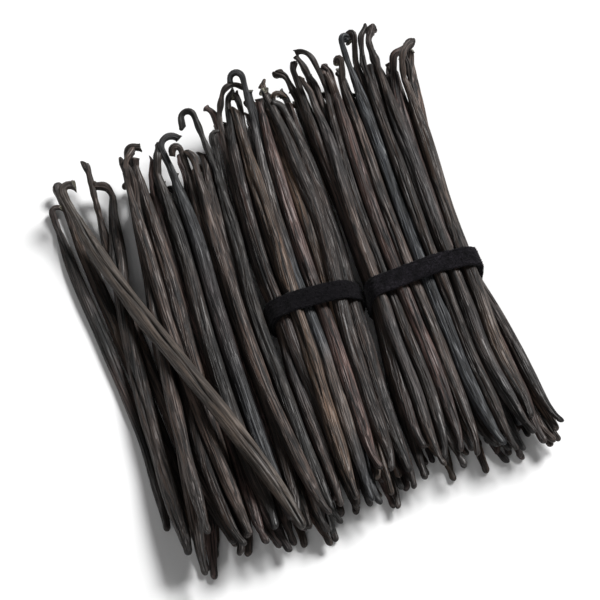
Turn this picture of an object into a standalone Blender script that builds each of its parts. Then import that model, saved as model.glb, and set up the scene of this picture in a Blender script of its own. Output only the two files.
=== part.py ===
"""A heap of cured vanilla pods: two tied bundles side by side, each with its own strap, and loose pods
that lie against them, with one pod crossing on top and one along the edge.

The pods lie along Y with their hooked stem ends at +Y. X is to the right and the heap rests on z = 0.
Each pod is a flattened tube. Its way through the heap is worked out by settling all the pods together:
they sink, push each other apart, stay nearly straight and keep inside their bundle's outline.
Units are metres.
"""

import math
from dataclasses import dataclass

import bmesh
import bpy
import numpy as np
from mathutils import Matrix

MM = 0.001

# Pods
SEED = 11
FLATNESS = 1.38  # width over thickness of a pod
POD_WIDTHS = (4.9 * MM, 6.7 * MM)
TIP_TAPER = 0.14  # share of a pod's length that narrows towards the blossom end
STEM_TAPER = 0.17  # the same towards the stem
BLUNT = 0.02  # share of its length in which the blossom end rounds off
TIP_SHARE = 0.55  # width at the blossom end, as a share of the pod's
TIP_FACE = 0.4  # width of the flat at its very end, the same way
STEM_SHARE = 0.5  # width of the stem, the same way
FLARE = 1.18  # how much the stem's cut end is wider than the stem
LAYER = 4.5 * MM
HOOK_TURNS = (10, 75)  # degrees
HOOK_FACINGS = (30, 200)  # degrees from +X towards up
HOOK_RADII = (1.8, 3.2)  # millimetres
HOOK_STEPS = 5
ACROSS_SPREAD = (0.04, 0.06)  # of a pod's place across its group, at its blossom end and its stem
ACROSS = (0.02, 0.98)
EDGE_ROOM = 0.06  # how far beyond those the neighbours of a layer's last pods are taken to be
BOW = 1.2 * MM  # how far a pod typically bends sideways

# Straps
STRAP_WIDTH = 8.4 * MM
STRAP_THICKNESS = 1.0 * MM
GAP = 0.3 * MM  # between solids that touch
LAP_GAP = 0.15 * MM  # between a strap's two layers where it laps over itself
LAP_RAMP = math.radians(14)  # the turn over which the lap rises
STRAP_OVERLAP = math.radians(75)
STRAP_STEPS = 48
SEAT_STEPS = 40
SEAT_DEPTH = 2 * (STRAP_THICKNESS + GAP) + LAP_GAP
STRAPS = {  # name: (bundle, angle of the tip from +X, way round)
    "right_strap": ("right_bundle", math.radians(-25), -1),
    "left_strap": ("left_bundle", math.radians(205), 1),
}

# Stations along Y, and the walls between the groups at those stations, in millimetres
STATIONS = (-110, -62, -40, -18, 15, 60, 100)
WALLS = {
    "outer_left": (-76.0, -68.5, -66.5, -65.0, -59.0, -54.0, -50.0),
    "loose_left": (-20.0, -20.6, -20.0, -19.0, -17.6, -13.5, -10.0),
    "left_right": (12.5, 14.3, 17.0, 19.3, 22.0, 21.5, 23.0),
    "outer_right": (71.5, 69.0, 67.5, 65.5, 66.5, 72.5, 79.0),
}
LOOSE_REACH = -100.0  # how far to the left the loose pods may lie

# Pods with a way of their own in plan, from stem to blossom end, in millimetres
CROSSING_WAY = ((-81, 70), (-68.5, 18), (-54.8, -37), (-33.8, -110))
EDGE_WAY = ((-83.4, 56), (-83.4, 43), (-82, 24), (-79.5, -6), (-77.5, -35), (-76.6, -53), (-79.6, -88))
FIRST_WAY = ((-78, 61), (-76, 33), (-74, 5), (-72, -28), (-70.5, -60), (-71, -105))
THIN_WAY = ((-65.4, 75), (-66.2, 58), (-67.7, 30), (-68, -10), (-64, -60), (-60, -105))
LONG_WAY = ((-58.6, 64), (-65.4, 29), (-72.8, -14), (-73.8, -53), (-76, -104))

# Settling
SLICE = 6 * MM
LOWEST_Y = -120 * MM
SLICES = 38
ROUNDS = 300
PULL = 0.03  # share of the way to its line in plan that a pod is drawn in each round
OWN_WAY_PULL = 0.3  # the same for a pod with a way of its own
STIFFNESS = 0.3  # share of the way to a smooth curve
OWN_WAY_STIFFNESS = 0.7
PUSH = 0.42  # share of an overlap that each of two pods gives way, twice a round
FALL = 0.35 * MM
LAST_FALL = 0.5  # share of it at the end of settling
HELD_UP = (10 * MM, 55 * MM)  # distances from the middle where pods begin to stay up, and fully do
PACKING = 0.95  # share of a bundle's section that its pods fill
SECTION_SHARE = 0.92  # area of a bundle's outline over that of its box
TOP_POWER = 4.5  # the outline is a superellipse, a little rounder above than below
BOTTOM_POWER = 4.0
SQUEEZE = (8 * MM, 24 * MM)  # distances from a strap where its hold is full, and gone
SPREAD = 1.12  # height of a bundle away from its strap, over that in the strap

# Solids
MIDDLE = (-5.63 * MM, -7.30 * MM)  # middle of the finished heap, which goes to the origin
TUBE_RINGS = 1
VOXEL = 1.1 * MM
CLOSING = 1.1 * MM  # gaps in a heap narrower than twice this are filled
SUNK = 0.35 * MM  # how much of the lowest pods is cut off flat, so that the heap rests on faces
HEAP_TOP = 80 * MM
END_ROOM = 40 * MM
GROUND = ((-0.2, -0.2), (0.2, -0.2), (0.2, 0.2), (-0.2, 0.2))
WELD = 0.001 * MM
HEAP_TRIANGLES = 2150
SINGLES = ("crossing_pod", "edge_pod")

# Looks
POD_COLOUR = (0.035, 0.024, 0.019)
SINGLE_COLOUR = (0.045, 0.032, 0.026)
POD_ROUGHNESS = 0.45
STRAP_COLOUR = (0.010, 0.009, 0.010)
STRAP_ROUGHNESS = 0.95


@dataclass
class Group:
    """Pods between two walls, in layers of (count, first place, last place) across. `strap_y` is None
    where no strap ties them."""

    walls: tuple
    layers: tuple
    stem_ends: tuple
    tips: tuple
    strap_y: float = None
    strap_tilt: float = 0.0

    @property
    def tied(self):
        return self.strap_y is not None


GROUPS = {
    "right_bundle": Group(
        walls=("left_right", "outer_right"),
        layers=((8, 0.08, 0.92), (9, 0.03, 0.97), (9, 0.05, 0.95), (9, 0.03, 0.97), (9, 0.06, 0.94)),
        stem_ends=(73 * MM, 86 * MM),
        tips=(-102 * MM, -90 * MM),
        strap_y=-20.5 * MM,
        strap_tilt=0.05,
    ),
    "left_bundle": Group(
        walls=("loose_left", "left_right"),
        layers=((6, 0.1, 0.9), (8, 0.03, 0.97), (8, 0.05, 0.95), (7, 0.08, 0.92)),
        stem_ends=(68 * MM, 82 * MM),
        tips=(-107 * MM, -95 * MM),
        strap_y=-17.5 * MM,
        strap_tilt=-0.03,
    ),
    "loose_pods": Group(
        walls=("outer_left", "loose_left"),
        layers=((11, 0.02, 0.98), (10, 0.07, 0.98), (8, 0.28, 0.96)),
        stem_ends=(51 * MM, 64 * MM),
        tips=(-114 * MM, -102 * MM),
    ),
}


def walls_at(group, y):
    """X of the group's left and right wall at y."""
    return [np.interp(y / MM, STATIONS, WALLS[wall]) * MM for wall in group.walls]


@dataclass
class Stem:
    """A stem runs straight on from its pod, turns round an arc and ends straight. Lengths are in
    millimetres and angles in degrees."""

    at: tuple = None  # where it leaves the pod, in plan, if that is given
    lean: float = None  # its first direction, from +Y to the right; None carries on the pod's own
    rise: float = 0.0  # the same from level
    straight: float = 0.0
    turn: float = 90.0
    facing: float = 0.0  # the side that it turns to, from +X towards up
    radius: float = 2.5
    stub: float = 2.2

    def line(self, start, ahead):
        """Points after `start`, where the pod ends, running in direction `ahead`."""
        lean, rise, facing, turn = np.radians([self.lean or 0, self.rise, self.facing, self.turn])
        if self.lean is not None:
            level = math.cos(rise)
            ahead = np.array([math.sin(lean) * level, math.cos(lean) * level, math.sin(rise)])
        side = np.array([math.cos(facing), 0, math.sin(facing)])
        side -= ahead * (side @ ahead)
        side /= np.linalg.norm(side)
        bend = start + self.straight * MM * ahead
        turns = np.linspace(0, turn, HOOK_STEPS + 1)[:, None]
        arc = bend + self.radius * MM * (np.sin(turns) * ahead + (1 - np.cos(turns)) * side)
        end = arc[-1] + self.stub * MM * (math.cos(turn) * ahead + math.sin(turn) * side)
        return np.vstack([arc if self.straight else arc[1:], end])


@dataclass
class Pod:
    """One pod before the heap settles, lying between its group's walls or, with `way`, along a line of its
    own in plan."""

    group: str
    width: float
    tip_y: float
    start_z: float
    stem: Stem
    stem_y: float = None
    across: tuple = (0.5, 0.5)  # at the blossom end and at the stem
    bow: float = 0.0
    way: tuple = None

    def __post_init__(self):
        if not self.stem.at:
            return
        x, self.stem_y = np.multiply(self.stem.at, MM)
        if not self.way:
            left, right = walls_at(GROUPS[self.group], self.stem_y)
            self.across = (self.across[0], (x - left) / (right - left))


# Stems that curl in a way of their own
STEMS = {  # group: {(layer, place in it): stem}
    "right_bundle": {
        (2, 1): Stem((33, 86), -21, 45, straight=4, turn=35, facing=-90, radius=4.5, stub=3),
        (3, 0): Stem((26, 80), -14, 28, straight=8, turn=50, facing=225, radius=3, stub=2),
        (3, 1): Stem((25.5, 84), -11, 38, straight=4, turn=55, facing=-50, radius=2.5, stub=2),
        (3, 3): Stem((38.5, 70), -10, 52, straight=6, turn=55, facing=275, radius=3, stub=5),
        (3, 5): Stem((52.5, 85.5), 15, 31, straight=11, turn=200, facing=220, radius=1.5, stub=2),
        (3, 7): Stem((62, 78.5), 16, 38, straight=5, turn=65, facing=-10, radius=2.5, stub=5),
        (3, 8): Stem((64.5, 69.5), 10, 31, straight=7, turn=35, facing=195, radius=5, stub=1),
        (4, 0): Stem((17.5, 75.5), -25, 31, straight=5, turn=10, facing=30, radius=4, stub=2),
        (4, 1): Stem((33.5, 75.5), -12, 31, straight=12, turn=85, facing=240, radius=6.5, stub=1),
        (4, 3): Stem((41, 76), 13, 36, straight=9, turn=190, facing=225, radius=1.3, stub=1),
        (4, 4): Stem((48.5, 86.5), -2, 32, straight=8, turn=150, facing=-35, radius=2, stub=1),
        (4, 5): Stem((54.5, 82), 12, 25, straight=10, turn=40, facing=-40, radius=5, stub=4),
        (4, 7): Stem((61, 79.5), -2, 25, straight=10, turn=40, facing=-30, radius=4, stub=4),
        (4, 8): Stem((71, 70), 12, 26, straight=7, turn=65, facing=-40, radius=9, stub=0.5),
    },
    "left_bundle": {
        (2, 0): Stem((-12.5, 74.5), 0, 28, straight=4, turn=50, facing=175, radius=6, stub=1),
        (2, 5): Stem((15, 73), 11, 41, straight=7, turn=155, facing=-5, radius=2, stub=1),
        (3, 0): Stem((-11.5, 76.5), 30, 41, straight=9, turn=105, facing=-15, radius=5, stub=2),
        (3, 2): Stem((4, 73.5), 2, 33, straight=14, turn=180, facing=205, radius=2.7, stub=1),
        (3, 4): Stem((11.5, 75.5), 16, 35, straight=5, turn=30, facing=245, radius=3, stub=5),
    },
    "loose_pods": {
        (1, 0): Stem((-62, 53), -4, 28, straight=5, turn=30, facing=240, radius=3.5, stub=3),
        (1, 1): Stem((-54.5, 66.5), -6, 28, straight=5, turn=40, facing=-35, radius=2, stub=0.5),
        (1, 2): Stem((-51.5, 66.5), 13, 52, straight=4, turn=100, facing=25, radius=2.5, stub=3),
        (1, 6): Stem((-27.5, 61), -10, 26, straight=4, turn=25, facing=-30, radius=2, stub=3),
        (1, 7): Stem((-25, 54.5), -35, 25, straight=1.5, turn=105, facing=0, radius=3, stub=3),
        (1, 9): Stem((-14, 64), 2, 27, straight=6, turn=115, facing=-10, radius=1.5, stub=0.5),
        (2, 0): Stem((-54, 53), 2, 44, straight=5, turn=65, facing=-55, radius=7, stub=3),
        (2, 2): Stem((-44, 55), 6, 25, straight=7, turn=25, facing=-35, radius=2, stub=6),
        (2, 3): Stem((-40.5, 60), 17, 28, straight=6, turn=20, facing=-80, radius=2, stub=6),
        (2, 4): Stem((-34.5, 62), -14, 30, straight=7, turn=145, facing=-10, radius=4.5, stub=1),
        (2, 5): Stem((-28.5, 58), -6, 33, straight=9, turn=165, facing=185, radius=1.8, stub=2),
        (2, 7): Stem((-20, 53.5), -4, 18, straight=26, turn=170, facing=195, radius=2.7, stub=4),
    },
}
CROSSING_STEM = Stem((-78, 57), -14, 26, straight=4, turn=135, facing=-5, radius=3, stub=1)
EDGE_STEM = Stem((-83.5, 57.5), -3, 18, straight=5, turn=130, facing=5, radius=2, stub=1)
FIRST_STEM = Stem((-80.5, 63.5), -13, 26, straight=8, turn=80, facing=-45, radius=1.6, stub=1)
THIN_STEM = Stem((-66.5, 54.5), 3, 17, straight=18, turn=10, facing=180, radius=2, stub=4)
LONG_STEM = Stem((-58.5, 60.5), -16, 27, straight=3, turn=60, facing=190, radius=3.5, stub=3)

# The pods with a way of their own
SINGLE_PODS = (
    Pod("crossing_pod", 7.6 * MM, -110 * MM, 22 * MM, way=CROSSING_WAY, stem=CROSSING_STEM),
    Pod("edge_pod", 5.8 * MM, -88 * MM, 3 * MM, way=EDGE_WAY, stem=EDGE_STEM),
    Pod("loose_pods", 6.2 * MM, -106 * MM, 4 * MM, way=FIRST_WAY, stem=FIRST_STEM),
    Pod("loose_pods", 6.0 * MM, -106 * MM, 5 * MM, way=THIN_WAY, stem=THIN_STEM),
    Pod("loose_pods", 7.0 * MM, -105 * MM, 12 * MM, way=LONG_WAY, stem=LONG_STEM),
)


def spread(layer):
    """Gives stems with no place of their own places between their neighbours', so that few pods cross."""
    places = np.arange(-1, len(layer) + 1)
    given = [(number, pod.across[1]) for number, pod in enumerate(layer) if pod.stem.at]
    anchors = [(-1, ACROSS[0] - EDGE_ROOM), *given, (len(layer), ACROSS[1] + EDGE_ROOM)]
    for pod, across in zip(layer, np.interp(places, *zip(*anchors))[1:]):
        if given and not pod.stem.at:
            pod.across = (pod.across[0], across)


def heap_pods():
    """Every pod of the heap, group by group, and then the single ones."""
    dice = np.random.default_rng(SEED)
    pods = []
    for name, group in GROUPS.items():
        for layer, (count, first, last) in enumerate(group.layers):
            begun = len(pods)
            for place, across in enumerate(np.linspace(first, last, count)):
                hook = [dice.uniform(*choice) for choice in (HOOK_TURNS, HOOK_FACINGS, HOOK_RADII)]
                pod = Pod(
                    group=name,
                    stem=STEMS[name].get((layer, place), Stem(None, None, 0, 0, *hook)),
                    width=dice.uniform(*POD_WIDTHS),
                    stem_y=dice.uniform(*group.stem_ends),
                    tip_y=dice.uniform(*group.tips),
                    start_z=(layer + 0.6) * LAYER,
                    across=tuple(across + dice.normal(0, ACROSS_SPREAD)),
                    bow=dice.normal(0, BOW),
                )
                pods.append(pod)
            spread(pods[begun:])
    return pods + list(SINGLE_PODS)


def smooth_step(value):
    value = np.clip(value, 0, 1)
    return value * value * (3 - 2 * value)


def width_share(along):
    """A pod's width as a share of its widest, at a place from 0, its blossom end, to 1, its stem."""
    blunt = np.sqrt(1 - (1 - np.clip(along / BLUNT, 0, 1)) ** 2)
    tip = blunt * (TIP_SHARE + (1 - TIP_SHARE) * smooth_step(along / TIP_TAPER))
    stem = STEM_SHARE + (1 - STEM_SHARE) * smooth_step((1 - along) / STEM_TAPER)
    return tip * stem


def squeeze_at(group, y):
    """How firmly the group's strap holds it at y, from 0 to 1."""
    near, far = SQUEEZE
    return smooth_step((far - np.abs(y - group.strap_y)) / (far - near))


def outline_at(name, y, pods):
    """Middle X, half width, lowest Z and half height of a tied bundle's outline at y."""
    group = GROUPS[name]
    left, right = walls_at(group, y)
    squeeze = squeeze_at(group, y)
    half_width = (right - left) / 2 - GAP - squeeze * (STRAP_THICKNESS + GAP)
    section = sum(math.pi / 4 * pod.width**2 / FLATNESS for pod in pods if pod.group == name)
    half_height = section / PACKING / SECTION_SHARE / (4 * half_width)
    half_height = half_height * (SPREAD - (SPREAD - 1) * squeeze)
    return (left + right) / 2, half_width, squeeze * (STRAP_THICKNESS + GAP), half_height


class Heap:
    """The pods' middles at slices along Y, as arrays of slices by pods, while they settle."""

    def __init__(self, pods):
        self.pods = pods
        self.y = LOWEST_Y + SLICE * np.arange(SLICES)
        tips = np.array([pod.tip_y for pod in pods])
        stems = np.array([pod.stem_y for pod in pods])
        rows = self.y[:, None]
        self.there = (rows > tips - SLICE / 2) & (rows < stems + SLICE / 2)
        along = np.clip((rows - tips) / (stems - tips), BLUNT, 1)
        self.half = np.array([pod.width for pod in pods]) / 2 * width_share(along)
        self.own_way = np.array([pod.way is not None for pod in pods])
        self.pull = np.where(self.own_way, OWN_WAY_PULL, PULL)
        self.stiffness = np.where(self.own_way, OWN_WAY_STIFFNESS, STIFFNESS)
        self.target = np.stack([self.plan_line(pod, along[:, j]) for j, pod in enumerate(pods)], axis=1)
        self.x = self.target.copy()
        self.z = np.array([pod.start_z for pod in pods]) + 0 * self.x
        self.floor = self.half / FLATNESS - SUNK
        begins, ends = HELD_UP
        self.fall = FALL * smooth_step((ends - np.abs(self.y)) / (ends - begins))[:, None]
        self.stiffener = np.stack([self.cubic_fit(there) for there in self.there.T])
        apart = ~np.eye(len(pods), dtype=bool)
        self.pairs = self.there[:, :, None] & self.there[:, None, :] & apart
        self.reach = self.half[:, :, None] + self.half[:, None, :]

    def plan_line(self, pod, along):
        """The X that the pod is drawn to at each slice."""
        if pod.way:
            xs, ys = np.transpose(pod.way[::-1]) * MM
            return np.interp(self.y, ys, xs)
        left, right = walls_at(GROUPS[pod.group], self.y)
        across = pod.across[0] + (pod.across[1] - pod.across[0]) * along
        return left + (right - left) * np.clip(across, *ACROSS) + pod.bow * np.sin(math.pi * along)

    def cubic_fit(self, there):
        """The matrix that replaces values on the slices of one pod by the cubic curve closest to them."""
        powers = np.vander(np.linspace(-1, 1, SLICES), 4) * there[:, None]
        return powers @ np.linalg.pinv(powers)

    def stiffen(self, values):
        """Draws each pod towards a smooth curve, because a pod bends only gently."""
        smooth = np.einsum("pij,jp->ip", self.stiffener, values * self.there)
        return np.where(self.there, values + self.stiffness * (smooth - values), values)

    def push_apart(self):
        dx = self.x[:, :, None] - self.x[:, None, :]
        dz = (self.z[:, :, None] - self.z[:, None, :]) * FLATNESS
        distance = np.sqrt(dx * dx + dz * dz) + 1e-7
        push = np.where(self.pairs, np.clip(self.reach - distance, 0, None), 0) * PUSH / distance
        self.x = self.x + (push * dx).sum(axis=2)
        self.z = self.z + (push * dz).sum(axis=2) / FLATNESS

    def confine(self, name):
        """Keeps a group inside its bundle's outline, or between its walls."""
        group = GROUPS[name]
        columns = np.array([pod.group == name for pod in self.pods]) & ~self.own_way
        x, z, half = self.x[:, columns], self.z[:, columns], self.half[:, columns]
        if group.tied:
            middle, half_width, lowest, half_height = (
                np.asarray(value)[:, None] for value in outline_at(name, self.y, self.pods)
            )
            centre = lowest + half_height
            across = (x - middle) / (half_width - half)
            up = (z - centre) / (half_height - half / FLATNESS)
            power = np.where(up > 0, TOP_POWER, BOTTOM_POWER)
            outside = np.maximum((np.abs(across) ** power + np.abs(up) ** power) ** (1 / power), 1)
            self.x[:, columns] = middle + (x - middle) / outside
            self.z[:, columns] = centre + (z - centre) / outside
        else:
            left, right = walls_at(group, self.y)
            right = right - (STRAP_THICKNESS + GAP) * squeeze_at(GROUPS["left_bundle"], self.y)
            self.x[:, columns] = np.clip(x, left[:, None] + half, right[:, None] - half)

    def settle(self):
        for number in range(ROUNDS):
            calm = 1 - number / ROUNDS
            self.x = self.stiffen(self.x + self.pull * (self.target - self.x))
            self.z = self.stiffen(self.z - self.fall * (LAST_FALL + (1 - LAST_FALL) * calm))
            for _ in range(2):
                self.push_apart()
                for name in GROUPS:
                    self.confine(name)
                self.z = np.maximum(self.z, self.floor)

    def centre_line(self, number):
        """Points along the pod's middle and its width there, from blossom end to cut stem."""
        pod = self.pods[number]
        there = self.there[:, number]
        inner = self.y[(self.y > pod.tip_y + MM) & (self.y < pod.stem_y - MM)]
        y = np.concatenate([[pod.tip_y], inner, [pod.stem_y]])
        x = np.interp(y, self.y[there], self.x[there, number])
        z = np.interp(y, self.y[there], self.z[there, number])
        body = np.stack([x, y, z], axis=1)
        widths = pod.width * width_share((y - pod.tip_y) / (pod.stem_y - pod.tip_y))
        widths[0] = pod.width * TIP_FACE
        ahead = body[-1] - body[-2]
        ahead /= np.linalg.norm(ahead)
        stem = pod.stem.line(body[-1], ahead)
        stem_widths = np.full(len(stem), pod.width * STEM_SHARE)
        stem_widths[-1] *= FLARE
        return np.concatenate([body, stem]), np.concatenate([widths, stem_widths])


def material(name, colour, roughness):
    made = bpy.data.materials.new(name)
    made.use_nodes = True
    shader = made.node_tree.nodes["Principled BSDF"]
    shader.inputs["Base Color"].default_value = (*colour, 1)
    shader.inputs["Roughness"].default_value = roughness
    shader.inputs["Metallic"].default_value = 0
    return made


def link(obj, collection):
    collection.objects.link(obj)
    return obj


def applied(obj, collection):
    """The object as a plain mesh, with its curve or modifiers made real and its caps welded."""
    bpy.context.view_layer.update()
    evaluated = obj.evaluated_get(bpy.context.evaluated_depsgraph_get())
    mesh = bpy.data.meshes.new_from_object(evaluated)
    mesh.transform(obj.matrix_world)
    name = obj.name
    bpy.data.objects.remove(obj)
    shape = bmesh.new()
    shape.from_mesh(mesh)
    bmesh.ops.remove_doubles(shape, verts=shape.verts, dist=WELD)
    shape.to_mesh(mesh)
    shape.free()
    return link(bpy.data.objects.new(name, mesh), collection)


def keep_largest_shell(mesh):
    """Removes all but the shell with the most points, and so the sealed hollows between pods."""
    shape = bmesh.new()
    shape.from_mesh(mesh)
    left, shells = set(shape.verts), []
    while left:
        front, shell = [left.pop()], []
        while front:
            vert = front.pop()
            shell.append(vert)
            beside = [edge.other_vert(vert) for edge in vert.link_edges]
            fresh = [other for other in beside if other in left]
            left.difference_update(fresh)
            front.extend(fresh)
        shells.append(shell)
    shells.sort(key=len)
    for shell in shells[:-1]:
        bmesh.ops.delete(shape, geom=shell, context="VERTS")
    shape.to_mesh(mesh)
    shape.free()


def close_up(mesh):
    """Removes slivers that stand on an edge of the skin, and fills the small holes that are left."""
    shape = bmesh.new()
    shape.from_mesh(mesh)
    crowded = [edge for edge in shape.edges if len(edge.link_faces) > 2]
    faces = {face for edge in crowded for face in edge.link_faces}
    slivers = [face for face in faces if any(edge.is_boundary for edge in face.edges)]
    bmesh.ops.delete(shape, geom=slivers, context="FACES")
    rims = [edge for edge in shape.edges if edge.is_boundary]
    bmesh.ops.holes_fill(shape, edges=rims)
    shape.to_mesh(mesh)
    shape.free()


def tubes(name, lines, swelling, collection):
    """One mesh object of flattened tubes along the lines, each swollen all round."""
    curve = bpy.data.curves.new(name, "CURVE")
    curve.dimensions = "3D"
    curve.bevel_depth = 1.0
    curve.bevel_resolution = TUBE_RINGS
    curve.use_fill_caps = True
    for points, widths in lines:
        spline = curve.splines.new("POLY")
        spline.points.add(len(points) - 1)
        for target, (x, y, z), width in zip(spline.points, points, widths):
            target.co = (x, y, z * FLATNESS, 1)
            target.radius = width / 2 + swelling
    obj = link(bpy.data.objects.new(name, curve), collection)
    obj.scale.z = 1 / FLATNESS
    return applied(obj, collection)


def plan_block(name, points, low, high, collection):
    """A block with the given outline in plan, from one height to another."""
    curve = bpy.data.curves.new(name, "CURVE")
    curve.dimensions = "2D"
    curve.fill_mode = "BOTH"
    curve.extrude = (high - low) / 2
    spline = curve.splines.new("POLY")
    spline.points.add(len(points) - 1)
    for target, (x, y) in zip(spline.points, points):
        target.co = (x, y, 0, 1)
    spline.use_cyclic_u = True
    obj = link(bpy.data.objects.new(name, curve), collection)
    obj.location.z = (low + high) / 2
    return applied(obj, collection)


def heap_solid(name, lines, collection):
    """One solid out to the uneven outline of the pods along these lines."""
    obj = tubes(name, lines, CLOSING, collection)
    remesh = obj.modifiers.new("Join the pods", "REMESH")
    remesh.mode = "VOXEL"
    remesh.voxel_size = VOXEL
    obj = applied(obj, collection)
    keep_largest_shell(obj.data)
    shrink = obj.modifiers.new("Back to size", "DISPLACE")
    shrink.strength = -CLOSING
    shrink.mid_level = 0
    clean = obj.modifiers.new("Clean creases", "REMESH")
    clean.mode = "VOXEL"
    clean.voxel_size = VOXEL
    obj = applied(obj, collection)
    thin = obj.modifiers.new("Fewer faces", "DECIMATE")
    thin.ratio = HEAP_TRIANGLES / (2 * len(obj.data.polygons))
    return applied(obj, collection)


def territory(name, collection):
    """The block between a group's walls, from the ground up."""
    walls = [np.multiply(WALLS[wall], MM) for wall in GROUPS[name].walls]
    stations = np.multiply(STATIONS, MM)
    stations[[0, -1]] += (-END_ROOM, END_ROOM)
    if not GROUPS[name].tied:
        walls[0][:] = LOOSE_REACH * MM
    left = [(x + GAP / 2, y) for x, y in zip(walls[0], stations)]
    right = [(x - GAP / 2, y) for x, y in zip(walls[1], stations)]
    return plan_block(f"{name}_territory", left + right[::-1], 0, HEAP_TOP, collection)


def cut(obj, operation, others, collection):
    """The object with each of the others cut from it, or cut to it, as one body."""
    for other in others:
        modifier = obj.modifiers.new(f"{operation} {other.name}", "BOOLEAN")
        modifier.operation = operation
        modifier.object = other
    obj = applied(obj, collection)
    keep_largest_shell(obj.data)
    close_up(obj.data)
    for other in others:
        bpy.data.objects.remove(other)
    return obj


def strap_path(name, pods, clearance, angles, rises):
    """Points round a tied bundle in the XZ plane, at angles from +X, that far outside its outline."""
    middle, half_width, lowest, half_height = outline_at(name, GROUPS[name].strap_y, pods)
    centre = lowest + half_height
    points = []
    for angle, rise in zip(angles, rises):
        power = TOP_POWER if math.sin(angle) > 0 else BOTTOM_POWER
        across = math.copysign(abs(math.cos(angle)) ** (2 / power), math.cos(angle))
        up = math.copysign(abs(math.sin(angle)) ** (2 / power), math.sin(angle))
        out = clearance + rise
        points.append((middle + (half_width + out) * across, centre + (half_height + out) * up))
    return points


def ribbon(name, group, points, turn, width, thickness, closed, collection):
    """A band outside the points in the XZ plane, at the group's strap. `turn` is 1 where they run
    anticlockwise, seen from -Y, and -1 where they run clockwise."""
    curve = bpy.data.curves.new(name, "CURVE")
    curve.dimensions = "2D"
    curve.fill_mode = "NONE"
    curve.extrude = width / 2
    spline = curve.splines.new("POLY")
    spline.points.add(len(points) - 1)
    for target, (x, z) in zip(spline.points, points):
        target.co = (x, z, 0, 1)
    spline.use_cyclic_u = closed
    obj = link(bpy.data.objects.new(name, curve), collection)
    obj.rotation_euler.x = math.pi / 2
    obj.location.y = group.strap_y
    obj = applied(obj, collection)
    middle = sum(x for x, _ in points) / len(points)
    for vert in obj.data.vertices:
        vert.co.y += group.strap_tilt * (vert.co.x - middle)
    solidify = obj.modifiers.new("Thickness", "SOLIDIFY")
    solidify.thickness = thickness
    solidify.offset = -turn
    solidify.use_even_offset = True
    return applied(obj, collection)


def strap(name, bundle, tip, turn, pods, collection):
    """A strap once round its bundle and on over itself, to its tip at an angle from +X."""
    overlap = STRAP_OVERLAP * turn
    start = tip - turn * 2 * math.pi - overlap
    angles = np.linspace(start, tip, STRAP_STEPS)
    passed = np.abs(angles - start) - 2 * math.pi
    rises = smooth_step(passed / LAP_RAMP + 1) * (STRAP_THICKNESS + LAP_GAP)
    points = strap_path(bundle, pods, GAP, angles, rises)
    return ribbon(name, GROUPS[bundle], points, turn, STRAP_WIDTH, STRAP_THICKNESS, False, collection)


def seat(bundle, pods, collection):
    """What is cut from a bundle so that its strap has room."""
    angles = np.linspace(0, 2 * math.pi, SEAT_STEPS, endpoint=False)
    points = strap_path(bundle, pods, 0, angles, 0 * angles)
    width = STRAP_WIDTH + 2 * GAP
    return ribbon(f"{bundle}_seat", GROUPS[bundle], points, 1, width, SEAT_DEPTH, True, collection)


def main():
    for obj in list(bpy.data.objects):
        bpy.data.objects.remove(obj)
    parts = bpy.data.collections.new("Vanilla pods")
    bpy.context.scene.collection.children.link(parts)
    heap = Heap(heap_pods())
    heap.settle()

    def lines_of(name):
        return [heap.centre_line(number) for number, pod in enumerate(heap.pods) if pod.group == name]

    for name, group in GROUPS.items():
        solid = heap_solid(name, lines_of(name), parts)
        solid = cut(solid, "INTERSECT", [territory(name, parts)], parts)
        if group.tied:
            solid = cut(solid, "DIFFERENCE", [seat(name, heap.pods, parts)], parts)
        else:
            rooms = [tubes(f"{single}_room", lines_of(single), GAP, parts) for single in SINGLES]
            rooms.append(seat("left_bundle", heap.pods, parts))
            solid = cut(solid, "DIFFERENCE", rooms, parts)
        solid.data.materials.append(material("cured pods", POD_COLOUR, POD_ROUGHNESS))
    for name in SINGLES:
        ground = plan_block(f"{name}_ground", GROUND, 0, HEAP_TOP, parts)
        solid = cut(tubes(name, lines_of(name), 0, parts), "INTERSECT", [ground], parts)
        solid.data.materials.append(material("single pod", SINGLE_COLOUR, POD_ROUGHNESS))
    for name, (bundle, tip, turn) in STRAPS.items():
        solid = strap(name, bundle, tip, turn, heap.pods, parts)
        solid.data.materials.append(material("strap", STRAP_COLOUR, STRAP_ROUGHNESS))
    for solid in parts.objects:
        solid.data.transform(Matrix.Translation((-MIDDLE[0], -MIDDLE[1], 0)))


main()
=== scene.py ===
"""A heap of cured vanilla pods: two strap-tied bundles side by side, loose pods against them, one pod
crossing on top and one along the edge. Units are metres, and the heap lies along Y on z = 0.
"""

import functools
import math
from dataclasses import dataclass

import bpy
import numpy as np
from bpy.props import FloatProperty, FloatVectorProperty, PointerProperty
from mathutils import Matrix, Vector
from mathutils.geometry import convex_hull_2d


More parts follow.
